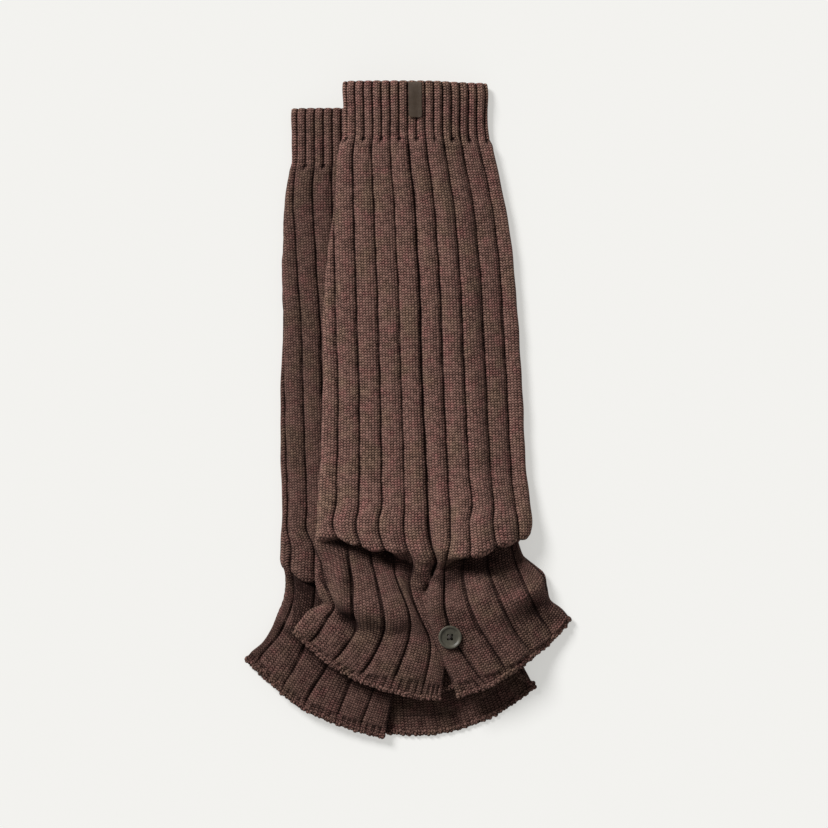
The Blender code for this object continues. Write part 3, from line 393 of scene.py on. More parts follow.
lower = {
    "side": "lower",
    "base": floorLevel,
    "straight": [
        (218.5, 0, -84.2, -29.5, 20.4, 9.2, 9.6, 9.6, 9.6, 9.2, -4.28, 4.07, 0.8),
        (216.8, 0, -84.4, -29.5, 20.6, 9.6, 9.9, 9.9, 9.9, 9.6, -4.28, 4.07, 0.9),
        (197, 0, -84.6, -29.3, 20.8, 9.8, 9.9, 9.9, 9.9, 9.8, -4.28, 4.07, 0.9),
        (178.3, 0, -85, -29, 21.1, 9.4, 9.4, 9.4, 9.4, 9.4, -4.3, 4.07, 0.7),
        (167.5, 0, -87, -28, 24.5, 9.9, 9.9, 9.9, 9.9, 9.9, -4.3, 4.2, 1),
        (148.5, 0, -89.5, -27, 29, 10, 10, 10, 10, 10, -4.4, 4.35, 1),
        (125.5, 0, -90.5, -26, 33, 10, 10, 10, 10, 10, -4.6, 4.45, 1),
        (94, 0, -92, -24.5, 36.5, 10, 10, 10, 10, 10, -4.85, 4.55, 1),
        (58, 0, -92, -22, 40.5, 10, 10, 10, 10, 10, -5.05, 4.65, 1),
        (7.5, 0, -93, -20, 44, 10, 10, 10, 10, 10, -5.2, 4.7, 1),
        (-35.5, 0, -92.5, -18.5, 47, 10, 10, 10, 10, 10, -5.25, 4.7, 1),
        (-68, 1, -91.5, -17.5, 49.5, 10.4, 10, 10, 10, 10, -5.25, 4.7, 1),
        (-84, 2, -91.8, -16.8, 50.6, 11.4, 10.2, 10, 10, 10, -5.25, 4.7, 1),
    ],
    "slouchRow": 15,
    "foldShade": ((-93, -80, 40), (0.3, 0.8, 0.8), (17.6, 17.6, 17.6)),
    "valleys": {"left": (1, 2, 3, 4, 5), "right": (2, 4)},
    "foot": [
        ((-5.25, 4.7, 1, -98), (12, 10.2, 10, 10, 10, 10),
         (-92.5, -86.4, -69.5, -56, -42.8, -29.2, -16.2, -16.2, 9.7, 37, 51.8),
         (-94, -96.8, -98, -98, -98, -98, -98, -98, -98, -96.4, -94)),
        ((-5.25, 4.7, 1, -106), (11.6, 10.1, 10, 10, 10, 10),
         (-93, -87, -69.1, -55.4, -42.1, -29.2, -16, -16, 9.7, 37, 52),
         (-104, -107.4, -114.8, -115.4, -114.8, -114.1, -113.4, -113.4, -112, -107.6, -104.8)),
        ((-5.25, 4.7, 0.95, -110.5), (11, 9.4, 9.9, 9.9, 9.7, 9.8),
         (-93, -87.4, -68.8, -55.1, -42.1, -29.2, -15.5, -15.5, 9.7, 37, 51.3),
         (-107, -112.6, -123, -123, -121, -119.6, -118.8, -118.8, -115.6, -110.6, -107.4)),
        ((-5.25, 4.7, 0.85, -114.5), (10.2, 8.2, 9.7, 9.7, 9.3, 9.4),
         (-92.4, -87, -68.8, -55.1, -41.4, -28.4, -15.1, -15.1, 9, 35.4, 49.8),
         (-110, -113.8, -123.8, -123.8, -122.8, -122.8, -123.6, -123.6, -119.2, -113.4, -109.8)),
        ((-5.35, 4.7, 0.5, -121.8), (8.9, 6.4, 9.2, 9.2, 8.6, 8.8),
         (-90, -85.4, -68.8, -55.1, -41.4, -28.1, -15.1, -15.1, 8.3, 33.6, 45.8),
         (-114.6, -114, -120.2, -120.6, -122, -124.9, -131, -131, -125, -117.4, -113.6)),
        ((-5.4, 4.7, 0.6, -126.6), (8.2, 4.9, 8, 9.8, 8.5, 8.6),
         (-89.5, -84.6, -68.8, -55.1, -41.4, -28.1, -15.2, -14.6, 7.9, 33.4, 46.4),
         (-119.4, -119.6, -123.6, -124.2, -126.6, -130, -135, -135, -129, -121.4, -117.4)),
        ((-5.55, 4.7, 0.9, -136), (9, 7, 6.2, 10.2, 9, 9.2),
         (-89.6, -84.4, -69.2, -54.8, -40.8, -27, -12, -19.6, 8.6, 38, 54.6),
         (-128.6, -130.6, -134.8, -136.8, -139.2, -141, -142.4, -142.4, -137.2, -129.6, -126)),
        ((-5.7, 4.75, 1, -144.5), (9.4, 9.2, 6.2, 10.2, 9.4, 9.4),
         (-91.1, -86, -70.9, -54.4, -38.9, -23.4, -9.4, -21.5, 11.2, 45, 62),
         (-137.2, -141.6, -148, -151.4, -152.4, -151.6, -150.1, -150.1, -144.4, -138.6, -135)),
        ((-5.85, 4.85, 1, -154), (9.6, 9.5, 6.2, 10.2, 9.4, 9.4),
         (-94.7, -89.6, -73.1, -55.1, -37.8, -21.2, -7.8, -22.5, 12.6, 47.9, 65.2),
         (-144.6, -151, -160.4, -164.8, -165, -162.4, -159.5, -159.5, -153.7, -147.2, -142.9)),
        ((-6, 5, 1, -168), (9.6, 9.5, 6.2, 10.2, 9.2, 9),
         (-98.6, -94.4, -76.7, -57.4, -37.6, -19.4, -6.5, -20.6, 14.8, 51, 68.6),
         (-152.4, -160.4, -172.4, -178.9, -180.4, -177.6, -174.6, -174, -164.6, -157.2, -152.6)),
        ((-6, 5, 1, -190), (9.3, 9.3, 6.4, 10, 9, 8.5),
         (-107, -102.4, -83.4, -67, -45, -27.4, -10.8, -14.8, 18.4, 56.5, 76),
         (-166, -170, -184.4, -195, -202, -205.4, -206.6, -189.4, -175.6, -168.4, -169.4)),
        ((-6, 5, 1, -220), (9.2, 9.3, 6.8, 9.6, 9, 8.4),
         (-115.6, -109.4, -90.4, -74.4, -51.6, -34, -15.4, -7.2, 23.6, 64.4, 86),
         (-173.6, -177.6, -195.4, -207.4, -217, -222.8, -227, -199.6, -184.7, -177.4, -186.4)),
        ((-6, 5, 0.8, -233), (9, 9.3, 6.9, 8.8, 8.7, 8.1),
         (-120.4, -113.6, -94, -78, -54.4, -36.6, -18, -3.5, 28.4, 70.9, 92.8),
         (-179.2, -183.8, -202.2, -214.6, -224.8, -231, -236, -205.6, -191.2, -186, -199.4)),
    ],
    "folds": [
        (-89, -151.5, -22, 3.8, 11, 4, 18, 23),
        (-87, -159, -22, 3.6, 11, -4.2, 19, 24),
        (-66, -175, -33, 7, 20, -2.8, 19, 25),
        (-28, -205, 60, 8, 16, 2.2, 21, 25),
    ],
    "spans": [(0, 3, 1.3), (3, 17, 1.9), (17, 24, 1.5), (24, 25, 0.7)],
}

# places of the points across a rib: on a wide rib's front and underside, a fine rib and a hem rib
wideShares = (0.0, 0.03, 0.065, 0.11, 0.18, 0.28, 0.38, 0.45, 0.5, 0.55, 0.62, 0.72, 0.82, 0.89, 0.935, 0.97)
backShares = (0.0, 0.045, 0.11, 0.25, 0.5, 0.75, 0.89, 0.955)
fineShares = (0.0, 0.035, 0.075, 0.14, 0.25, 0.36, 0.425, 0.465)
hemShares = (0.0, 0.035, 0.08, 0.125, 0.17, 0.215)


def columnsOf(front, back, parts):
    # rib places all round: the front's close, the back's wide apart
    places = []
    for rib in range(ribsAround):
        onFront = min(rib, ribsAround - 1 - rib) < frontRibs
        for part in range(parts):
            places.extend(rib + part / parts + share for share in (front if onFront else back))
    return np.array(places + [float(ribsAround)])


def besideSeam(columns):
    # the valley nearest to each place, counted from the front seam to both sides
    return (np.round(columns) + ribsAround / 2) % ribsAround - ribsAround / 2


def unevenness(what, place, rib):
    change, *waves = knit[what]
    for length, turn in waves:
        change = change * np.sin(place / length + rib * turn)
    return change


def reliefOf(rows, side, piece, columns, rowRange):
    # how far the cloth's outer points stand out, how deep in a valley each lies, and how far under
    first, last = rowRange
    place = rows["places"][first:last, None]
    since = place - place[0]
    nearest = np.round(columns)[None, :]
    wander = sum(share * np.sin(place / length + start + nearest * turn)
                 for share, length, start, turn in knit["wobbleWaves"])
    begun = smoothStep((place - knit["wobbleStart"]) / knit["wobbleOver"])
    along = columns[None, :] + knit["wobble"] * wander * begun
    wide, fine, hem = (bell(along * count - np.round(along * count), half) * depth
                       for count, half, depth in knit["valleys"])
    deeper = np.interp(besideSeam(nearest), *knit["valleyShares"]) + unevenness("patches", place, nearest)
    crown = (np.sin(math.pi * (along % 1.0)) ** knit["crownPower"] * knit["ribCrown"]
             * np.interp(besideSeam(nearest), *knit["crownShares"]))
    fineCrown = np.sin(math.pi * ((along * 2) % 1.0)) * knit["fineCrown"]
    rib = rows["rib"][first:last, None]
    flat = 1 - knit["flareCrown"]
    into = smoothStep(since / knit["gather"].get(piece, 1.0))
    if piece == "cuff":
        valley, crown = fine, fineCrown
    elif piece == "leg":
        # the cuff's ribs go over into half as many wide ones, with a small pit where each fine valley ends
        pit, puff = knit["pit"], knit["puff"]
        half = np.round(along * 2)
        slanted = along * 2 - pit["shift"] + since * pit["slant"] - half
        dent = pit["depth"] * bell(slanted, pit["width"]) * (half % 2) * bell(since - pit["at"], pit["reach"])
        started = knit["legTopValley"] + (1 - knit["legTopValley"]) * into
        valley = np.maximum(np.maximum(wide * deeper * started, fine * (1 - into)), dent)
        puffed = puff["height"] * bell(since - puff["at"], puff["reach"])
        crown = fineCrown * (1 - into) + crown * into + puffed
    elif piece == "hem":
        valley = np.maximum(wide * (1 - (1 - knit["hemValley"]) * into), hem * into)
        crown = crown * knit["flareCrown"] * (1 - into)
        rib = rib + flat * (1 - into)
    else:
        valley = wide * deeper * (1 + (knit["flareValley"][side] - 1) * into)
        crown = crown * (1 - into * flat)
        rib = rib + flat * into
    past = np.minimum(columns[None, :] - rows["kRight"][first:last, None],
                      rows["kLeft"][first:last, None] + ribsAround - columns[None, :])
    under = np.clip(past / knit["underFade"], 0.0, 1.0)
    flank = knit["ribTop"] * rib * (1 - np.minimum(valley, 1)) - knit["ribDip"] * rib * valley
    front = flank + crown + unevenness("lumps", place, np.floor(columns)[None, :])
    relief = front * (1 - under) - knit["underDip"] * np.minimum(valley, 1) * under
    return relief, np.clip(valley, 0, knit["mostValley"]), under


def facesBetween(rowCount, columnCount, closed, innerAt):
    # quads of the outer wall, the inner wall and the rims between them
    faces = []
    across = columnCount - 1
    end = len(innerAt) - 1

    def outer(i, j):
        return i * columnCount + (j % across if closed else j)

    def inner(i, j):
        return rowCount * columnCount + i * (end + 1) + (j % end if closed else j)

    last = rowCount - 1
    for i in range(last):
        for j in range(across):
            faces.append((outer(i, j), outer(i + 1, j), outer(i + 1, j + 1), outer(i, j + 1)))
        for j in range(end):
            faces.append((inner(i, j), inner(i, j + 1), inner(i + 1, j + 1), inner(i + 1, j)))
        if not closed:
            faces.append((outer(i, 0), inner(i, 0), inner(i + 1, 0), outer(i + 1, 0)))
            faces.append((outer(i, across), outer(i + 1, across), inner(i + 1, end), inner(i, end)))
    for j in range(end):
        for i in (0, last):
            rim = [outer(i, c) for c in range(innerAt[j], innerAt[j + 1] + 1)]
            rim += [inner(i, j + 1), inner(i, j)]
            faces.append(tuple(rim if i == 0 else rim[::-1]))
    return faces


def meshOf(name, points, faces):
    mesh = bpy.data.meshes.new(name)
    mesh.from_pydata((points * mm).tolist(), [], faces)
    mesh.update()
    mesh.polygons.foreach_set("use_smooth", np.ones(len(mesh.polygons), bool))
    return mesh


def pointsAtCorners(mesh):
    # which point each face's corners use
    corners = np.empty(len(mesh.loops), int)
    mesh.loops.foreach_get("vertex_index", corners)
    return corners


def placeInScene(name, data):
    thing = bpy.data.objects.new(name, data)
    bpy.context.scene.collection.objects.link(thing)
    return thing


def roundedEnd(distance):
    # how far the cloth is rounded off at this distance from its edge
    return 1 - rounding(1 - np.clip(distance / knit["edgeRound"], 0, 1), 0.0, 2.0)


def endDropOf(piece, place, columns, closed):
    # how far the wall thins to the open ends and to the slit's edges
    drop = np.zeros((len(place), len(columns)))
    if piece == "cuff":
        drop += roundedEnd(place - place[0])
    if piece == "hem":
        drop += roundedEnd(place[-1] - place)
    if not closed:
        opened = smoothStep((place - place[0]) / knit["slitStart"]) if piece == "flare" else 1.0
        fromEdge = np.minimum(columns, ribsAround - columns)[None, :] * knit["ribWidth"]
        drop = drop + opened * roundedEnd(fromEdge)
    return np.clip(drop, 0, 1) * knit["wall"] * knit["edgeShare"]


def addStitchMap(mesh, flat, turn, closed):
    # the UV map counts stitch columns and rows
    placed = flat[pointsAtCorners(mesh)]
    if closed:
        # the last column shares its points with the first, so its UV goes on to the full turn
        starts = np.empty(len(mesh.polygons), int)
        totals = np.empty(len(mesh.polygons), int)
        mesh.polygons.foreach_get("loop_start", starts)
        mesh.polygons.foreach_get("loop_total", totals)
        whose = np.repeat(np.arange(len(starts)), totals)
        highest = np.zeros(len(starts))
        np.maximum.at(highest, whose, placed[:, 0])
        placed[(placed[:, 0] < 0.01) & (highest[whose] > turn / 2), 0] += turn
    mesh.uv_layers.new(name="stitches").data.foreach_set("uv", placed.reshape(-1))


def shadeUnder(garment, piece, place, points):
    # painted shade deep in the slouch's fold and in creases, and painted shadow right below the upper hem
    x, y = points[:, :, 0], points[:, :, 1]
    xFold, strength, foldRow = garment["foldShade"]
    control = np.arange(len(garment["station"]))
    deepest = np.interp(np.interp(x, xFold, foldRow), control, garment["station"])
    shadow = bell(place - deepest, knit["foldReach"]) * np.interp(x, xFold, strength)
    creased = np.array([foldLift(garment, at, *spots.T[:2]) for at, spots in zip(place[:, 0], points)])
    shadow = shadow + knit["creasePaintedShade"] * np.clip(-creased, 0, None)
    if garment is lower and piece in ("flare", "hem"):
        rows = upper["rows"]
        ribs, hemLine = rows["outlines"][-1]
        front = hemLine[(ribs < rows["kRight"][-1]) | (ribs > ribsAround + rows["kLeft"][-1])]
        front = front[np.argsort(front[:, 0])]
        drop = np.clip(np.interp(x, front[:, 0], front[:, 1]) - y, 0, None)
        over = (x > front[0, 0]) & (x < front[-1, 0])
        shadow = shadow + knit["hemShade"] * np.exp(-drop / knit["hemReach"]) * over
    return shadow


def shadeRibSides(piece, columns, valley, under):
    # painted shade on a rib's right side, and a narrower painted valley shade on the next one's lit left side
    if piece not in ("leg", "flare"):
        return 0.0, valley
    beside = columns - np.round(columns)
    shaded = knit["sideShade"] * np.interp(besideSeam(columns), *knit["sideShares"])
    shadow = shaded * bell(beside, knit["sideReach"]) * (beside < 0) * (1 - under)
    return shadow, np.where(beside > 0, valley ** knit["sideLit"], valley)


def sharpenSeams(mesh, piece, count, width):
    # where two pieces meet, the rim doesn't soften the shading
    ends = np.empty(2 * len(mesh.edges), int)
    mesh.edges.foreach_get("vertices", ends)
    ends = ends.reshape(-1, 2)
    meets = np.zeros(len(mesh.edges), bool)
    if piece != "cuff":
        meets |= (ends < width).all(axis=1)
    if piece != "hem":
        meets |= ((ends >= (count - 1) * width) & (ends < count * width)).all(axis=1)
    mesh.attributes.new("sharp_edge", "BOOLEAN", "EDGE").data.foreach_set("value", meets)


def dropLoosePoints(mesh):
    loose = np.ones(len(mesh.vertices), bool)
    loose[pointsAtCorners(mesh)] = False
    bm = bmesh.new()
    bm.from_mesh(mesh)
    bm.verts.ensure_lookup_table()
    bmesh.ops.delete(bm, geom=[bm.verts[i] for i in np.nonzero(loose)[0]], context="VERTS")
    bm.to_mesh(mesh)
    bm.free()


def knitPiece(name, garment, rows, piece, span, columns, closed, step):
    # one knitted piece as a thin shell, with its ribs in the mesh and its stitches' places in the UV map
    first, last = span[0], span[1] + 1
    points, out = (part[first:last] for part in surfaceOf(rows, columns, closed))
    place = rows["places"][first:last, None]
    onFront = (columns < rows["kRight"][first]) | (columns > ribsAround + rows["kLeft"][first])
    # at the slouch each rib ends in a small lobe
    atSlouch = bell(place - garment["station"][garment["slouchRow"]], knit["lobeReach"])
    lobes = (np.sin(math.pi * (columns % 1.0)) - knit["lobeMiddle"]) * onFront
    points[:, :, 1] -= knit["lobe"] * atSlouch * lobes
    relief, valley, under = reliefOf(rows, garment["side"], piece, columns, (first, last))
    endDrop = endDropOf(piece, place, columns, closed)
    innerDip = knit["innerDip"] * (1 - np.minimum(valley, 1)) * (not closed)
    innerAt = list(range(0, len(columns), step))
    outer = points + out * (relief - endDrop)[:, :, None]
    inner = (points - out * (knit["wall"] - innerDip - endDrop)[:, :, None])[:, innerAt]
    floorAt = np.minimum(garment["base"](outer[:, :, 0], outer[:, :, 1]), points[:, :, 2])
    outer[:, :, 2] = np.maximum(outer[:, :, 2], floorAt + knit["clear"])
    inner[:, :, 2] = np.maximum(inner[:, :, 2], knit["clear"])
    count, width = relief.shape
    mesh = meshOf(name, np.concatenate([outer.reshape(-1, 3), inner.reshape(-1, 3)]),
                  facesBetween(count, width, closed, innerAt))
    around = np.linalg.norm(np.diff(points, axis=1), axis=2).sum(axis=1)
    lengths = np.linalg.norm(np.diff(points, axis=0), axis=2)
    drawn = np.ptp(outer.reshape(-1, 3), axis=0)
    print(name, len(mesh.polygons), "faces, size", drawn.round(1), "around", around.max().round(),
          "long", lengths.sum(axis=0).mean().round())
    fromTop = np.concatenate([np.zeros((1, width)), np.cumsum(lengths, axis=0)])
    turn = ribsAround * knit["wales"][piece]
    flat = np.stack([np.broadcast_to(columns * knit["wales"][piece], relief.shape),
                     (fromTop if closed else fromTop - fromTop[-1:]) / knit["courseHeight"]], axis=2)
    addStitchMap(mesh, np.concatenate([flat.reshape(-1, 2), flat[:, innerAt].reshape(-1, 2)]), turn, closed)
    sideShadow, valley = shadeRibSides(piece, columns, valley, under)
    shadow = shadeUnder(garment, piece, place, points) * onFront + sideShadow
    # painted shade: valleys, folds, creases, the upper hem's shadow and the ribs' shaded sides darken the
    # yarn, carried in the "valley" attribute
    paintedShade = np.clip(valley * (1 - knit["underLight"] * under) + shadow, 0, knit["mostPaintedShade"])
    depth = np.concatenate([paintedShade.reshape(-1), valley[:, innerAt].reshape(-1) * knit["innerPaintedShade"]])
    mesh.attributes.new("valley", "FLOAT", "POINT").data.foreach_set("value", depth.astype(np.float32))
    sharpenSeams(mesh, piece, count, width)
    if closed:
        dropLoosePoints(mesh)
    return placeInScene(name, mesh)


columnsFor = {
    # rib places, whether the piece is a closed tube, and how many outer columns go to an inner one
    "cuff": (columnsOf(fineShares, fineShares[::2], 2), True, 4),
    "leg": (columnsOf(wideShares, backShares, 1), True, 4),
    "flare": (columnsOf(wideShares, backShares, 1), False, 2),
    "hem": (columnsOf(hemShares, hemShares[::2], 4), False, 2),
}
pieces = {}
for garment in (upper, lower):
    side = garment["side"]
    rows = denseRows(garment)
    starts = [0] + rows["ends"]
    for (piece, (columns, closed, step)), span in zip(columnsFor.items(), zip(starts, rows["ends"])):
        name = side + "_" + piece + "_knit"
        pieces[side, piece] = knitPiece(name, garment, rows, piece, span, columns, closed, step)
    garment["rows"] = rows
print("knitted pieces made")

yarn = {
    "light": (0.340, 0.187, 0.151),
    # dark is the colour of painted shade in stitch gaps, valleys and folds
    "dark": (0.014, 0.005, 0.004),
    "red": (0.376, 0.165, 0.146),
    "olive": (0.296, 0.196, 0.130),
    "patch": 125.0,          # mottling, patches to the metre
    "otherPatch": 0.43,      # the olive patches are larger
    "redRange": (0.50, 0.68, 0.8),      # where patches start and are full, and how strong they are
    "oliveRange": (0.48, 0.66, 0.6),
    "fleck": 1400.0,         # fibres' flecks to the metre
    "fleckRange": (0.34, 0.66),
    "stitchDepth": 0.0007,
    "slope": 0.55,           # how far a stitch's legs climb, in rows
    "uneven": 0.48,          # stitches are out of place by up to this share of one
    "unevenPatch": 260.0,
    "columnShift": 0.45,     # columns are out of step by this share of a row
    "gap": 2.4,              # the larger, the narrower is the gap between two columns
    "parting": (8.0, 0.3),   # how narrow and how deep a stitch's middle is parted
    "legPower": 1.2,
    # how far the painted shade in the "valley" attribute darkens the yarn
    "valleyPaintedShade": 0.47,
    "stitchShare": 0.8,      # how much the stitches' painted shade in their gaps, the flecks and each stitch's own tone show
    "fleckShare": 0.15,
    "oddShare": 0.3,
    "litRange": (0.20, 0.97),
    "fuzz": 0.25,            # height of the flecks beside the stitches'
    "roughness": 0.92,
    "sheen": 0.05,
    "sheenRoughness": 0.5,
    "sheenTint": (0.9, 0.62, 0.55),
    "gloss": 0.1,
}


def placeNode(tree, kind, given, **settings):
    # a node with its settings; what it is given is a value or another node's output
    made = tree.nodes.new("ShaderNode" + kind)
    for label, value in settings.items():
        setattr(made, label, value)
    for label, source in given.items():
        if isinstance(source, (int, float, tuple)):
            made.inputs[label].default_value = source
        else:
            tree.links.new(source, made.inputs[label])
    return made.outputs


def reckon(tree, operation, *terms):
    return placeNode(tree, "Math", dict(enumerate(terms)), operation=operation)[0]


def blendColours(tree, share, first, second):
    return placeNode(tree, "Mix", {0: share, 6: first, 7: second}, data_type="RGBA")[2]


def noise(tree, place, scale, detail):
    return placeNode(tree, "TexNoise", {"Vector": place, "Scale": scale, "Detail": detail})


def spread(tree, value, low, high):
    return placeNode(tree, "MapRange", {"Value": value, "From Min": low, "From Max": high})["Result"]


def newGroup(name, inputs, outputs):
    tree = bpy.data.node_groups.new(name, "ShaderNodeTree")
    for way, sockets in (("INPUT", inputs), ("OUTPUT", outputs)):
        for label, kind in sockets.items():
            tree.interface.new_socket(name=label, in_out=way, socket_type="NodeSocket" + kind)
    return tree, tree.nodes.new("NodeGroupInput").outputs, tree.nodes.new("NodeGroupOutput").inputs


def newMaterial(name):
    material = bpy.data.materials.new(name)
    material.use_nodes = True
    tree = material.node_tree
    return material, tree, tree.nodes["Principled BSDF"].inputs, placeNode(tree, "TexCoord", {})["Object"]


def addBump(tree, shader, height, strength, distance):
    bump = placeNode(tree, "Bump", {"Strength": strength, "Distance": distance, "Height": height})
    tree.links.new(bump["Normal"], shader["Normal"])


def paint(colour, shade=1.0):
    return (*(part * shade for part in colour), 1.0)


def makeStitchGroup():
    # legs of knitted stitches, from a place counted in stitch columns and rows
    tree, given, made = newGroup("knitStitches", {"Place": "Vector", "Slope": "Float"},
                                 {"Height": "Float", "Odd": "Float"})
    across, down, _ = placeNode(tree, "SeparateXYZ", {0: given["Place"]})
    column = reckon(tree, "FLOOR", across)
    fromMiddle = reckon(tree, "SUBTRACT", reckon(tree, "FRACT", across), 0.5)
    fromMiddle = reckon(tree, "MULTIPLY", reckon(tree, "ABSOLUTE", fromMiddle), 2.0)
    climbed = reckon(tree, "SUBTRACT", down, reckon(tree, "MULTIPLY", fromMiddle, given["Slope"]))
    shift = placeNode(tree, "TexWhiteNoise", {"W": column}, noise_dimensions="1D")["Value"]
    climbed = reckon(tree, "MULTIPLY_ADD", shift, yarn["columnShift"], climbed)
    overLeg = reckon(tree, "SINE", reckon(tree, "MULTIPLY", reckon(tree, "FRACT", climbed), math.pi))
    # a stitch is full across, sinking in the gap to the next column and at a slight parting in its middle,
    # where the yarn also gets painted shade
    gap = reckon(tree, "POWER", fromMiddle, yarn["gap"])
    parting = reckon(tree, "POWER", reckon(tree, "SUBTRACT", 1.0, fromMiddle), yarn["parting"][0])
    parting = reckon(tree, "MULTIPLY", parting, yarn["parting"][1])
    acrossLeg = reckon(tree, "SUBTRACT", reckon(tree, "SUBTRACT", 1.0, gap), parting)
    full = reckon(tree, "POWER", overLeg, yarn["legPower"])
    height = reckon(tree, "MULTIPLY", full, reckon(tree, "MULTIPLY_ADD", acrossLeg, 0.8, 0.2))
    tree.links.new(height, made["Height"])
    # each stitch has its own shade
    which = placeNode(tree, "CombineXYZ", {0: column, 1: reckon(tree, "FLOOR", climbed)})[0]
    own = placeNode(tree, "TexWhiteNoise", {"Vector": which}, noise_dimensions="2D")["Value"]
    tree.links.new(own, made["Odd"])
    return tree


def makeTintGroup():
    # soft reddish and olive patches and fine flecks of a mixed yarn
    tree, given, made = newGroup("yarnTint", {"Place": "Vector", "Light": "Color", "Red": "Color",
                                              "Olive": "Color", "Patch": "Float", "Fleck": "Float"},
                                 {"Colour": "Color", "Flecks": "Float"})
    colour = given["Light"]
    larger = reckon(tree, "MULTIPLY", given["Patch"], yarn["otherPatch"])
    for scale, detail, (low, high, share), other in ((given["Patch"], 3.0, yarn["redRange"], "Red"),
                                                     (larger, 2.0, yarn["oliveRange"], "Olive")):
        patches = spread(tree, noise(tree, given["Place"], scale, detail)["Fac"], low, high)
        colour = blendColours(tree, reckon(tree, "MULTIPLY", patches, share), colour, given[other])
    flecks = noise(tree, given["Place"], given["Fleck"], 3.0)["Fac"]
    tree.links.new(colour, made["Colour"])
    tree.links.new(spread(tree, flecks, *yarn["fleckRange"]), made["Flecks"])
    return tree


stitchGroup = makeStitchGroup()
tintGroup = makeTintGroup()


def knitMaterial(name, shade):
    # shade scales all the yarn's colours: painted shade for pieces lying in shade
    material, tree, shader, objectPlace = newMaterial(name)
    # the "valley" attribute holds painted shade, which darkens the yarn below
    valley = placeNode(tree, "Attribute", {}, attribute_name="valley")["Fac"]
    # the stitches wander a little
    shift = noise(tree, objectPlace, yarn["unevenPatch"], 1.0)["Color"]
    centred = placeNode(tree, "VectorMath", {0: shift, 1: (0.5, 0.5, 0.5)}, operation="SUBTRACT")[0]
    uvPlace = placeNode(tree, "UVMap", {}, uv_map="stitches")["UV"]
    wandered = placeNode(tree, "VectorMath", {0: centred, 1: (yarn["uneven"],) * 3, 2: uvPlace},
                         operation="MULTIPLY_ADD")[0]
    stitches = placeNode(tree, "Group", {"Place": wandered, "Slope": yarn["slope"]}, node_tree=stitchGroup)
    tint = placeNode(tree, "Group", {"Place": objectPlace, "Light": paint(yarn["light"], shade),
                                     "Red": paint(yarn["red"], shade), "Olive": paint(yarn["olive"], shade),
                                     "Patch": yarn["patch"], "Fleck": yarn["fleck"]}, node_tree=tintGroup)
    lit = reckon(tree, "MULTIPLY", stitches["Height"], yarn["stitchShare"])
    lit = reckon(tree, "MULTIPLY_ADD", tint["Flecks"], yarn["fleckShare"], lit)
    lit = reckon(tree, "MULTIPLY_ADD", stitches["Odd"], yarn["oddShare"], lit)
    lit = reckon(tree, "SUBTRACT", lit, reckon(tree, "MULTIPLY", valley, yarn["valleyPaintedShade"]))
    colour = blendColours(tree, spread(tree, lit, *yarn["litRange"]), paint(yarn["dark"]), tint["Colour"])
    tree.links.new(colour, shader["Base Color"])
    height = reckon(tree, "MULTIPLY_ADD", tint["Flecks"], yarn["fuzz"], stitches["Height"])
    addBump(tree, shader, height, 1.0, yarn["stitchDepth"])
    shader["Roughness"].default_value = yarn["roughness"]
    shader["Sheen Weight"].default_value = yarn["sheen"]
    shader["Sheen Roughness"].default_value = yarn["sheenRoughness"]
    shader["Sheen Tint"].default_value = paint(yarn["sheenTint"])
    shader["Specular IOR Level"].default_value = yarn["gloss"]
    return material


paintedShades = {
    # painted shade: each piece's yarn colour is scaled by this, darker where the piece lies in shade
    "upper": {"cuff": 1.06, "leg": 0.98, "flare": 0.65, "hem": 0.66},
    "lower": {"cuff": 0.84, "leg": 0.65, "flare": 0.53, "hem": 0.53},
}
knits = {}
for (side, piece), thing in pieces.items():
    knits[side, piece] = knitMaterial(side + piece.capitalize() + "Knit", paintedShades[side][piece])
    thing.data.materials.append(knits[side, piece])
print("knit materials made")

edging = {
    "step": 2.3,             # from one half stitch of the bound edge to the next
    "long": 2.4,             # half length of each
    "thick": 1.75,
    "round": 2.1,
    "slant": 18.0,
    "slantUneven": 0.1,
    "inset": 1.6,            # their middles lie this far inside the hem's end
    "insetUneven": 0.3,
    "lift": (-0.1, 0.35),    # every other one lies a little higher
    "uneven": 0.10,
    "samples": 1601,         # places all round at which the edge is measured
    "reach": 4,              # its direction is taken between places this many samples away
}


def unit(direction):
    return direction / (np.linalg.norm(direction, axis=-1, keepdims=True) + 1e-12)


def onlySelect(*things):
    bpy.ops.object.select_all(action="DESELECT")
    for thing in things:
        thing.select_set(True)
    bpy.context.view_layer.objects.active = things[0]


def startWith(addPrimitive, **given):
    # a new primitive, alone in the selection, with its place and turn in its mesh
    bpy.ops.object.select_all(action="DESELECT")
    addPrimitive(**given)
    bpy.ops.object.transform_apply(location=True, rotation=True, scale=True)
    return bpy.context.object


def halfStitch():
    lobe = startWith(bpy.ops.mesh.primitive_uv_sphere_add, segments=8, ring_count=6, radius=1.0)
    corners = np.array([v.co[:] for v in lobe.data.vertices])
    sides = [tuple(f.vertices) for f in lobe.data.polygons]
    bpy.ops.object.delete()
    return corners, sides


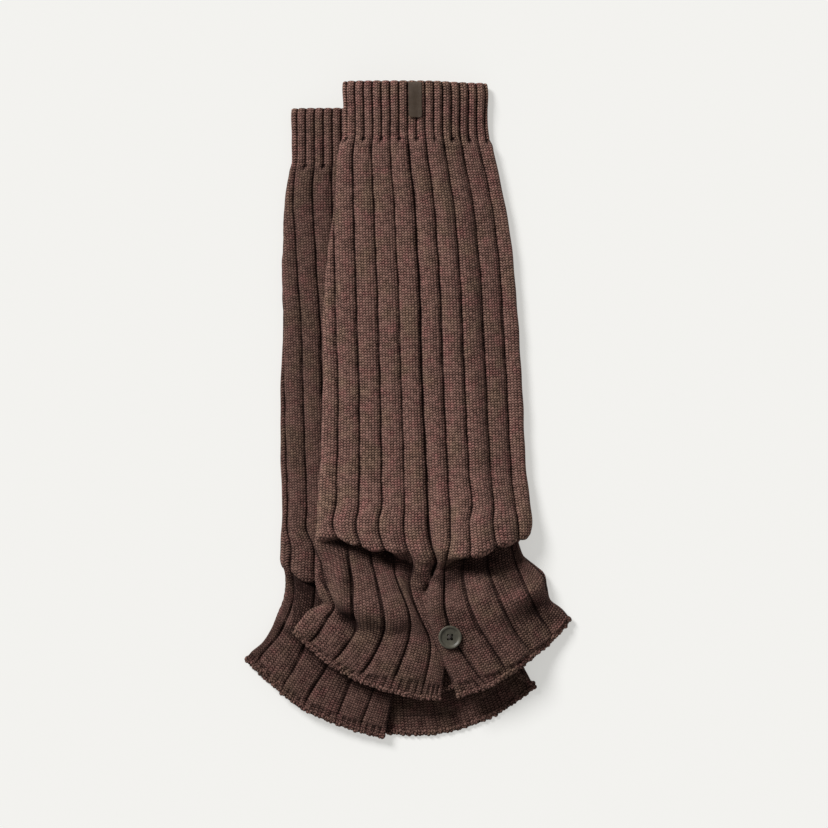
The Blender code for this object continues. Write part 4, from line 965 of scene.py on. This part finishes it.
def boundEdge(name, garment):
    # slanted half stitches in two crossing rows all along the hem's end
    columns = np.linspace(0.0, ribsAround, edging["samples"])
    reach = edging["reach"]
    points, out = surfaceOf(garment["rows"], columns, False)
    middle = points - out * knit["wall"] * 0.5
    end = middle[-1]
    down = unit(middle[-1] - middle[-2])
    run = np.concatenate([[0.0], np.cumsum(np.linalg.norm(np.diff(end, axis=0), axis=1))])
    count = int(run[-1] / edging["step"])
    corners, sides = halfStitch()
    vertices, faces, places = [], [], []
    for number in range(count):
        odd = number % 2
        k = np.interp((number + 0.5) * run[-1] / count, run, columns)
        at = int(np.argmin(np.abs(columns - k)))
        ahead = unit(end[min(at + reach, len(end) - 1)] - end[max(at - reach, 0)])
        below = unit(down[at] - ahead * np.dot(down[at], ahead))
        over = np.cross(ahead, below)
        slant = edging["slant"] * (1 if odd else -1)
        turn = math.radians(slant * (1 + rng.normal() * edging["slantUneven"]))
        grow = 1 + edging["uneven"] * rng.normal()
        inset = edging["inset"] + edging["insetUneven"] * rng.normal()
        longWay = (ahead * math.sin(turn) + below * math.cos(turn)) * edging["long"] * grow
        wideWay = (ahead * math.cos(turn) - below * math.sin(turn)) * edging["thick"] * grow
        shape = np.array([wideWay, over * edging["round"], longWay])
        blob = end[at] - below * inset + over * edging["lift"][odd] + corners @ shape
        blob[:, 2] = np.maximum(blob[:, 2], knit["clear"])
        faces.extend(tuple(number * len(corners) + v for v in face) for face in sides)
        vertices.append(blob)
        places.append(np.stack([k * knit["wales"]["hem"] + corners[:, 0] * 0.5, corners[:, 2]], axis=1))
    mesh = meshOf(name, np.concatenate(vertices), faces)
    placed = np.concatenate(places)[pointsAtCorners(mesh)]
    mesh.uv_layers.new(name="stitches").data.foreach_set("uv", placed.reshape(-1))
    mesh.materials.append(knits[garment["side"], "hem"])
    thing = placeInScene(name, mesh)
    onlySelect(thing)
    bpy.ops.object.mode_set(mode="EDIT")
    bpy.ops.mesh.select_all(action="SELECT")
    bpy.ops.mesh.normals_make_consistent(inside=False)
    bpy.ops.object.mode_set(mode="OBJECT")
    return thing


edges = {garment["side"]: boundEdge(garment["side"] + "_hem_edge", garment) for garment in (upper, lower)}
print("bound edges made:", [len(e.data.polygons) for e in edges.values()])

tag = {
    "ribs": (0.04, 0.80),    # it reaches from here to there across the ribs
    "start": 0.9,            # it begins this far below the cuff's end
    "length": 25.5,
    "grid": (16, 44),
    "thick": 0.5,
    "over": 2.55,            # it lies this far over the cloth's valleys
    "corner": 1.6,           # its lower corners are rounded
    "fold": 1.5,             # its upper end turns down over this length
    "foldDrop": 1.2,
    "foldOut": 0.25,
    "bend": 0.18,            # below its first millimetres it is bent a little across
    "bendFrom": 6.0,
    "rim": 0.12,
    "smoothAngle": 40,
    "colour": (0.086, 0.058, 0.038),
    "thread": (0.036, 0.023, 0.015),
    # threads along and across: direction, scale, distortion
    "threads": (("X", 1.6, 0.4), ("Y", 1.1, 0.6)),
    "threadShare": 0.35,
    "softShare": 0.5,
    "soft": 420.0,
    "threadRange": (0.2, 0.95),
    "roughness": 0.62,
    "shine": -0.2,
    "bump": (0.7, 0.00012),
    "gloss": 0.25,
}


def makeTag():
    columns, lines = tag["grid"]
    thing = startWith(bpy.ops.mesh.primitive_grid_add, x_subdivisions=columns, y_subdivisions=lines, size=1.0)
    thing.name = "upper_bare_tag"
    fromRib, toRib = tag["ribs"]
    ribs = np.linspace(fromRib, toRib, 81)
    points, out = surfaceOf(upper["rows"], ribs, False)
    station = upper["rows"]["places"]
    width = np.linalg.norm(points[10, -1] - points[10, 0])
    flat = []
    for vertex in thing.data.vertices:
        across, length = vertex.co.x + 0.5, (0.5 - vertex.co.y) * tag["length"]
        toCorner = max(tag["corner"] - (tag["length"] - length), 0.0)
        pull = (tag["corner"] - math.sqrt(max(tag["corner"] ** 2 - toCorner ** 2, 0.0))) / width
        rib = fromRib + (toRib - fromRib) * (0.5 + (across - 0.5) * (1 - 2 * pull))
        spot = length + tag["start"]
        row = int(np.searchsorted(station, spot, side="right") - 1)
        part = (spot - station[row]) / (station[row + 1] - station[row])
        here, there = (np.array([np.interp(rib, ribs, points[at, :, axis]) for axis in range(3)])
                       for at in (row, row + 1))
        place = here + (there - here) * part
        toFold = 1 - min(length / tag["fold"], 1.0)
        bend = tag["bend"] * math.sin(across * math.pi * 2) * smoothStep(length / tag["bendFrom"])
        place[2] += tag["over"] + bend - tag["foldDrop"] * (1 - math.sqrt(1 - toFold ** 2))
        place[1] += tag["foldOut"] * toFold
        flat.append((across * width, length))
        vertex.co = Vector(place) * mm
    weave = thing.data.uv_layers.active
    weave.name = "weave"
    for loop in thing.data.loops:
        weave.data[loop.index].uv = flat[loop.vertex_index]
    shell = thing.modifiers.new("shell", "SOLIDIFY")
    shell.thickness = tag["thick"] * mm
    shell.offset = -1.0
    rim = thing.modifiers.new("rim", "BEVEL")
    rim.width = tag["rim"] * mm
    rim.segments = 2
    for modifier in ("shell", "rim"):
        bpy.ops.object.modifier_apply(modifier=modifier)
    bpy.ops.object.shade_smooth_by_angle(angle=math.radians(tag["smoothAngle"]))
    return thing


def tagMaterial():
    material, tree, shader, objectPlace = newMaterial("bareTagSatin")
    uvPlace = placeNode(tree, "UVMap", {}, uv_map="weave")["UV"]
    mixed = reckon(tree, "MULTIPLY", noise(tree, objectPlace, tag["soft"], 3.0)["Fac"], tag["softShare"])
    for direction, scale, distortion in tag["threads"]:
        wave = placeNode(tree, "TexWave", {"Vector": uvPlace, "Scale": scale, "Distortion": distortion},
                         bands_direction=direction)["Fac"]
        mixed = reckon(tree, "MULTIPLY_ADD", wave, tag["threadShare"], mixed)
    colour = blendColours(tree, spread(tree, mixed, *tag["threadRange"]), paint(tag["thread"]),
                          paint(tag["colour"]))
    tree.links.new(colour, shader["Base Color"])
    roughness = reckon(tree, "MULTIPLY_ADD", mixed, tag["shine"], tag["roughness"])
    tree.links.new(roughness, shader["Roughness"])
    addBump(tree, shader, mixed, *tag["bump"])
    shader["Specular IOR Level"].default_value = tag["gloss"]
    return material


def dressWith(thing, material):
    thing.data.materials.clear()
    thing.data.materials.append(material)


bareTag = makeTag()
dressWith(bareTag, tagMaterial())
print("tag made")

button = {
    "sides": 72,
    "radius": 8.25,
    "thick": 3.0,
    "rim": 1.25,
    "slope": 0.9,
    "dish": 1.0,
    "middle": (2.2, 0.25),   # a shallower step in the dish: width and depth
    "back": (1.2, 0.2),      # the underside's chamfer
    "soft": 0.4,
    "smoothAngle": 32,
    "holes": 4,
    "holeSides": 24,
    "hole": 0.95,
    "holeOut": 1.95,         # the holes' middles lie this far from the button's
    "drill": (8, 2),         # length of the drill, and how high its middle is
    "colour": (0.050, 0.046, 0.033),
    "pale": (0.104, 0.095, 0.070),
    "dark": (0.012, 0.010, 0.008),
    "clouds": (160.0, 0.35, 0.7),   # patches to the metre, and where they start and are full
    "grit": (2200.0, 0.5, 0.75),
    "gritShare": 0.5,
    "roughness": 0.3,
    "dull": 0.25,
    "bump": (0.25, 0.0001),
    "thread": 0.42,
    "threadSides": 10,
    "threadCuts": 6,
    "threadReach": 1.1,      # it ends this far past the holes' middles, as a share of their distance
    "threadDeep": 0.1,
    "threadApart": 0.34,
    "threadTurns": ((45, 0.0), (135, 0.35)),    # each pair's turn and how much higher it lies
    "threadSag": 1.3,
    "threadColour": (0.045, 0.033, 0.026),
    "twist": (3500.0, 0.35, 0.65),
    "threadRoughness": 0.7,
}


def seatOf(node):
    # a button's own middle and its axes, read from where its CAD node lies
    spots = np.array([v.co[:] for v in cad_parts[node].data.vertices])
    middle = spots.mean(axis=0)
    up = np.linalg.svd(spots - middle, full_matrices=False)[2][2]
    up = up if up[2] > 0 else -up
    side = unit(np.cross([0.0, 1.0, 0.0], up))
    turned = Matrix(np.column_stack([side, np.cross(up, side), up]).tolist()).to_4x4()
    turned.translation = Vector(middle + up * ((spots - middle) @ up).min())
    return turned


def facesWhere(thing, test):
    bpy.ops.mesh.select_all(action="DESELECT")
    bm = bmesh.from_edit_mesh(thing.data)
    for face in bm.faces:
        face.select_set(bool(test(face)))
    bmesh.update_edit_mesh(thing.data)


def drill(thing, angle):
    long, high = button["drill"]
    spot = Vector((math.cos(angle) * button["holeOut"], math.sin(angle) * button["holeOut"], high)) * mm
    bit = startWith(bpy.ops.mesh.primitive_cylinder_add, vertices=button["holeSides"],
                    radius=button["hole"] * mm, depth=long * mm, location=spot)
    onlySelect(thing)
    bore = thing.modifiers.new("bore", "BOOLEAN")
    bore.operation = "DIFFERENCE"
    bore.object = bit
    bore.solver = "EXACT"
    bpy.ops.object.modifier_apply(modifier="bore")
    bpy.data.objects.remove(bit)


def makeButton(name, node):
    thing = startWith(bpy.ops.mesh.primitive_cylinder_add, vertices=button["sides"],
                      radius=button["radius"] * mm, depth=button["thick"] * mm,
                      location=(0, 0, button["thick"] * mm / 2))
    thing.name = name
    bpy.ops.object.mode_set(mode="EDIT")
    facesWhere(thing, lambda face: face.normal.z > 0.9)
    bpy.ops.mesh.inset(thickness=button["rim"] * mm)
    bpy.ops.mesh.inset(thickness=button["slope"] * mm, depth=-button["dish"] * mm)
    bpy.ops.mesh.inset(thickness=button["middle"][0] * mm, depth=-button["middle"][1] * mm)
    facesWhere(thing, lambda face: face.normal.z < -0.9)
    bpy.ops.mesh.inset(thickness=button["back"][0] * mm, depth=0.0)
    bpy.ops.transform.translate(value=(0, 0, -button["back"][1] * mm))
    bpy.ops.object.mode_set(mode="OBJECT")
    soft = thing.modifiers.new("soft", "BEVEL")
    soft.width = button["soft"] * mm
    soft.segments = 4
    soft.limit_method = "ANGLE"
    soft.angle_limit = math.radians(25)
    bpy.ops.object.modifier_apply(modifier="soft")
    for number in range(button["holes"]):
        drill(thing, 2 * math.pi * (number + 0.5) / button["holes"])
    onlySelect(thing)
    bpy.ops.object.shade_smooth_by_angle(angle=math.radians(button["smoothAngle"]))
    thing.data.transform(seatOf(node))
    return thing


def makeStrand(beside, turn, lift):
    # one stretch of thread over the button, from a hole to the one across from it
    reach = button["threadReach"] * button["holeOut"] * mm
    strand = startWith(bpy.ops.mesh.primitive_cylinder_add, vertices=button["threadSides"],
                       radius=button["thread"] * mm, depth=2 * reach, rotation=(math.pi / 2, 0, 0))
    bpy.ops.object.mode_set(mode="EDIT")
    facesWhere(strand, lambda face: abs(face.normal.y) < 0.5)
    bpy.ops.mesh.subdivide(number_cuts=button["threadCuts"])
    bpy.ops.object.mode_set(mode="OBJECT")
    high = button["thick"] - button["dish"] - button["threadDeep"] + lift
    for vertex in strand.data.vertices:
        vertex.co.z += (high - button["threadSag"] * (vertex.co.y / reach) ** 4) * mm
        vertex.co.x += beside * mm
    strand.data.transform(Matrix.Rotation(math.radians(turn), 4, "Z"))
    return strand


def makeThread(name, node):
    apart = button["threadApart"]
    strands = [makeStrand(beside, turn, lift) for turn, lift in button["threadTurns"]
               for beside in (-apart, apart)]
    onlySelect(*strands)
    bpy.ops.object.join()
    thing = bpy.context.object
    thing.name = name
    bpy.ops.object.shade_smooth()
    thing.data.transform(seatOf(node))
    return thing


def buttonMaterial():
    material, tree, shader, objectPlace = newMaterial("smokedButton")
    scale, *cloudRange = button["clouds"]
    clouds = spread(tree, noise(tree, objectPlace, scale, 4.0)["Fac"], *cloudRange)
    scale, *gritRange = button["grit"]
    grit = noise(tree, objectPlace, scale, 2.0)["Fac"]
    gritty = reckon(tree, "MULTIPLY", spread(tree, grit, *gritRange), button["gritShare"])
    colour = blendColours(tree, clouds, paint(button["colour"]), paint(button["pale"]))
    colour = blendColours(tree, gritty, colour, paint(button["dark"]))
    tree.links.new(colour, shader["Base Color"])
    roughness = reckon(tree, "MULTIPLY_ADD", grit, button["dull"], button["roughness"])
    tree.links.new(roughness, shader["Roughness"])
    addBump(tree, shader, grit, *button["bump"])
    return material


def threadMaterial():
    material, tree, shader, objectPlace = newMaterial("sewingThread")
    scale, *twistRange = button["twist"]
    twist = spread(tree, noise(tree, objectPlace, scale, 2.0)["Fac"], *twistRange)
    colour = blendColours(tree, twist, paint(button["dark"]), paint(button["threadColour"]))
    tree.links.new(colour, shader["Base Color"])
    shader["Roughness"].default_value = button["threadRoughness"]
    return material


buttonLook = buttonMaterial()
threadLook = threadMaterial()
fastened = {}
for side in ("upper", "lower"):
    made = makeButton(side + "_button_model", side + "_button")
    thread = makeThread(side + "_button_thread", side + "_button")
    dressWith(made, buttonLook)
    dressWith(thread, threadLook)
    fastened[side] = (made, thread)
print("buttons made")

nodeOf = {"cuff": "cuff", "leg": "leg", "flare": "flare", "hem": "hem_band"}
for (side, piece), thing in pieces.items():
    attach(thing, "root")
    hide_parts(side + "_" + nodeOf[piece])
for side in ("upper", "lower"):
    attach(edges[side], "root")
    made, thread = fastened[side]
    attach(made, "root")
    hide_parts(side + "_button")
    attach(thread, "root")
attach(bareTag, "root")
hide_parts("upper_label")
print("pieces ride and replace their nodes")

camera = {
    "lens": 120.0,
    "sensor": 36.0,
    "place": (0.0036, -0.0018, 1.997),      # in metres
}
eye = bpy.data.cameras.new("photoCamera")
eye.lens = camera["lens"]
eye.sensor_width = camera["sensor"]
eyeObject = placeInScene("photoCamera", eye)
eyeObject.location = camera["place"]
bpy.context.scene.camera = eyeObject

stage = {
    # the floor's sizes and the key light's place are in metres
    "floor": (0.40, 0.398, 0.390),
    "roughness": 0.95,
    "half": 2.5,
    "level": -0.0003,
    "glow": 0.494,
    "glowColour": (1.0, 0.992, 0.955),
    "key": {"from": (-1.4, 1.55, 1.55), "soft": 20.0, "power": 3.85},
    "world": 0.25,
    "worldColour": (1.0, 0.995, 0.985),
}
bpy.ops.object.select_all(action="DESELECT")
bpy.ops.mesh.primitive_plane_add(size=2 * stage["half"], location=(0, 0, stage["level"]))
floor = bpy.context.object
floor.name = "floor"
paper = bpy.data.materials.new("floorPaper")
paper.use_nodes = True
surface = paper.node_tree.nodes["Principled BSDF"].inputs
surface["Base Color"].default_value = paint(stage["floor"])
surface["Roughness"].default_value = stage["roughness"]
surface["Emission Color"].default_value = paint(stage["glowColour"])
surface["Emission Strength"].default_value = stage["glow"]
floor.data.materials.append(paper)
keyData = bpy.data.lights.new("softKey", "SUN")
keyData.energy = stage["key"]["power"]
keyData.angle = math.radians(stage["key"]["soft"])
keyLight = placeInScene("softKey", keyData)
keyLight.location = stage["key"]["from"]
keyLight.rotation_euler = (-Vector(stage["key"]["from"])).to_track_quat("-Z", "Y").to_euler()
sky = bpy.data.worlds.new("studio")
sky.use_nodes = True
background = sky.node_tree.nodes["Background"].inputs
background["Color"].default_value = paint(stage["worldColour"])
background["Strength"].default_value = stage["world"]
bpy.context.scene.world = sky
bpy.context.scene.view_settings.view_transform = "Standard"
print("floor and light ready")
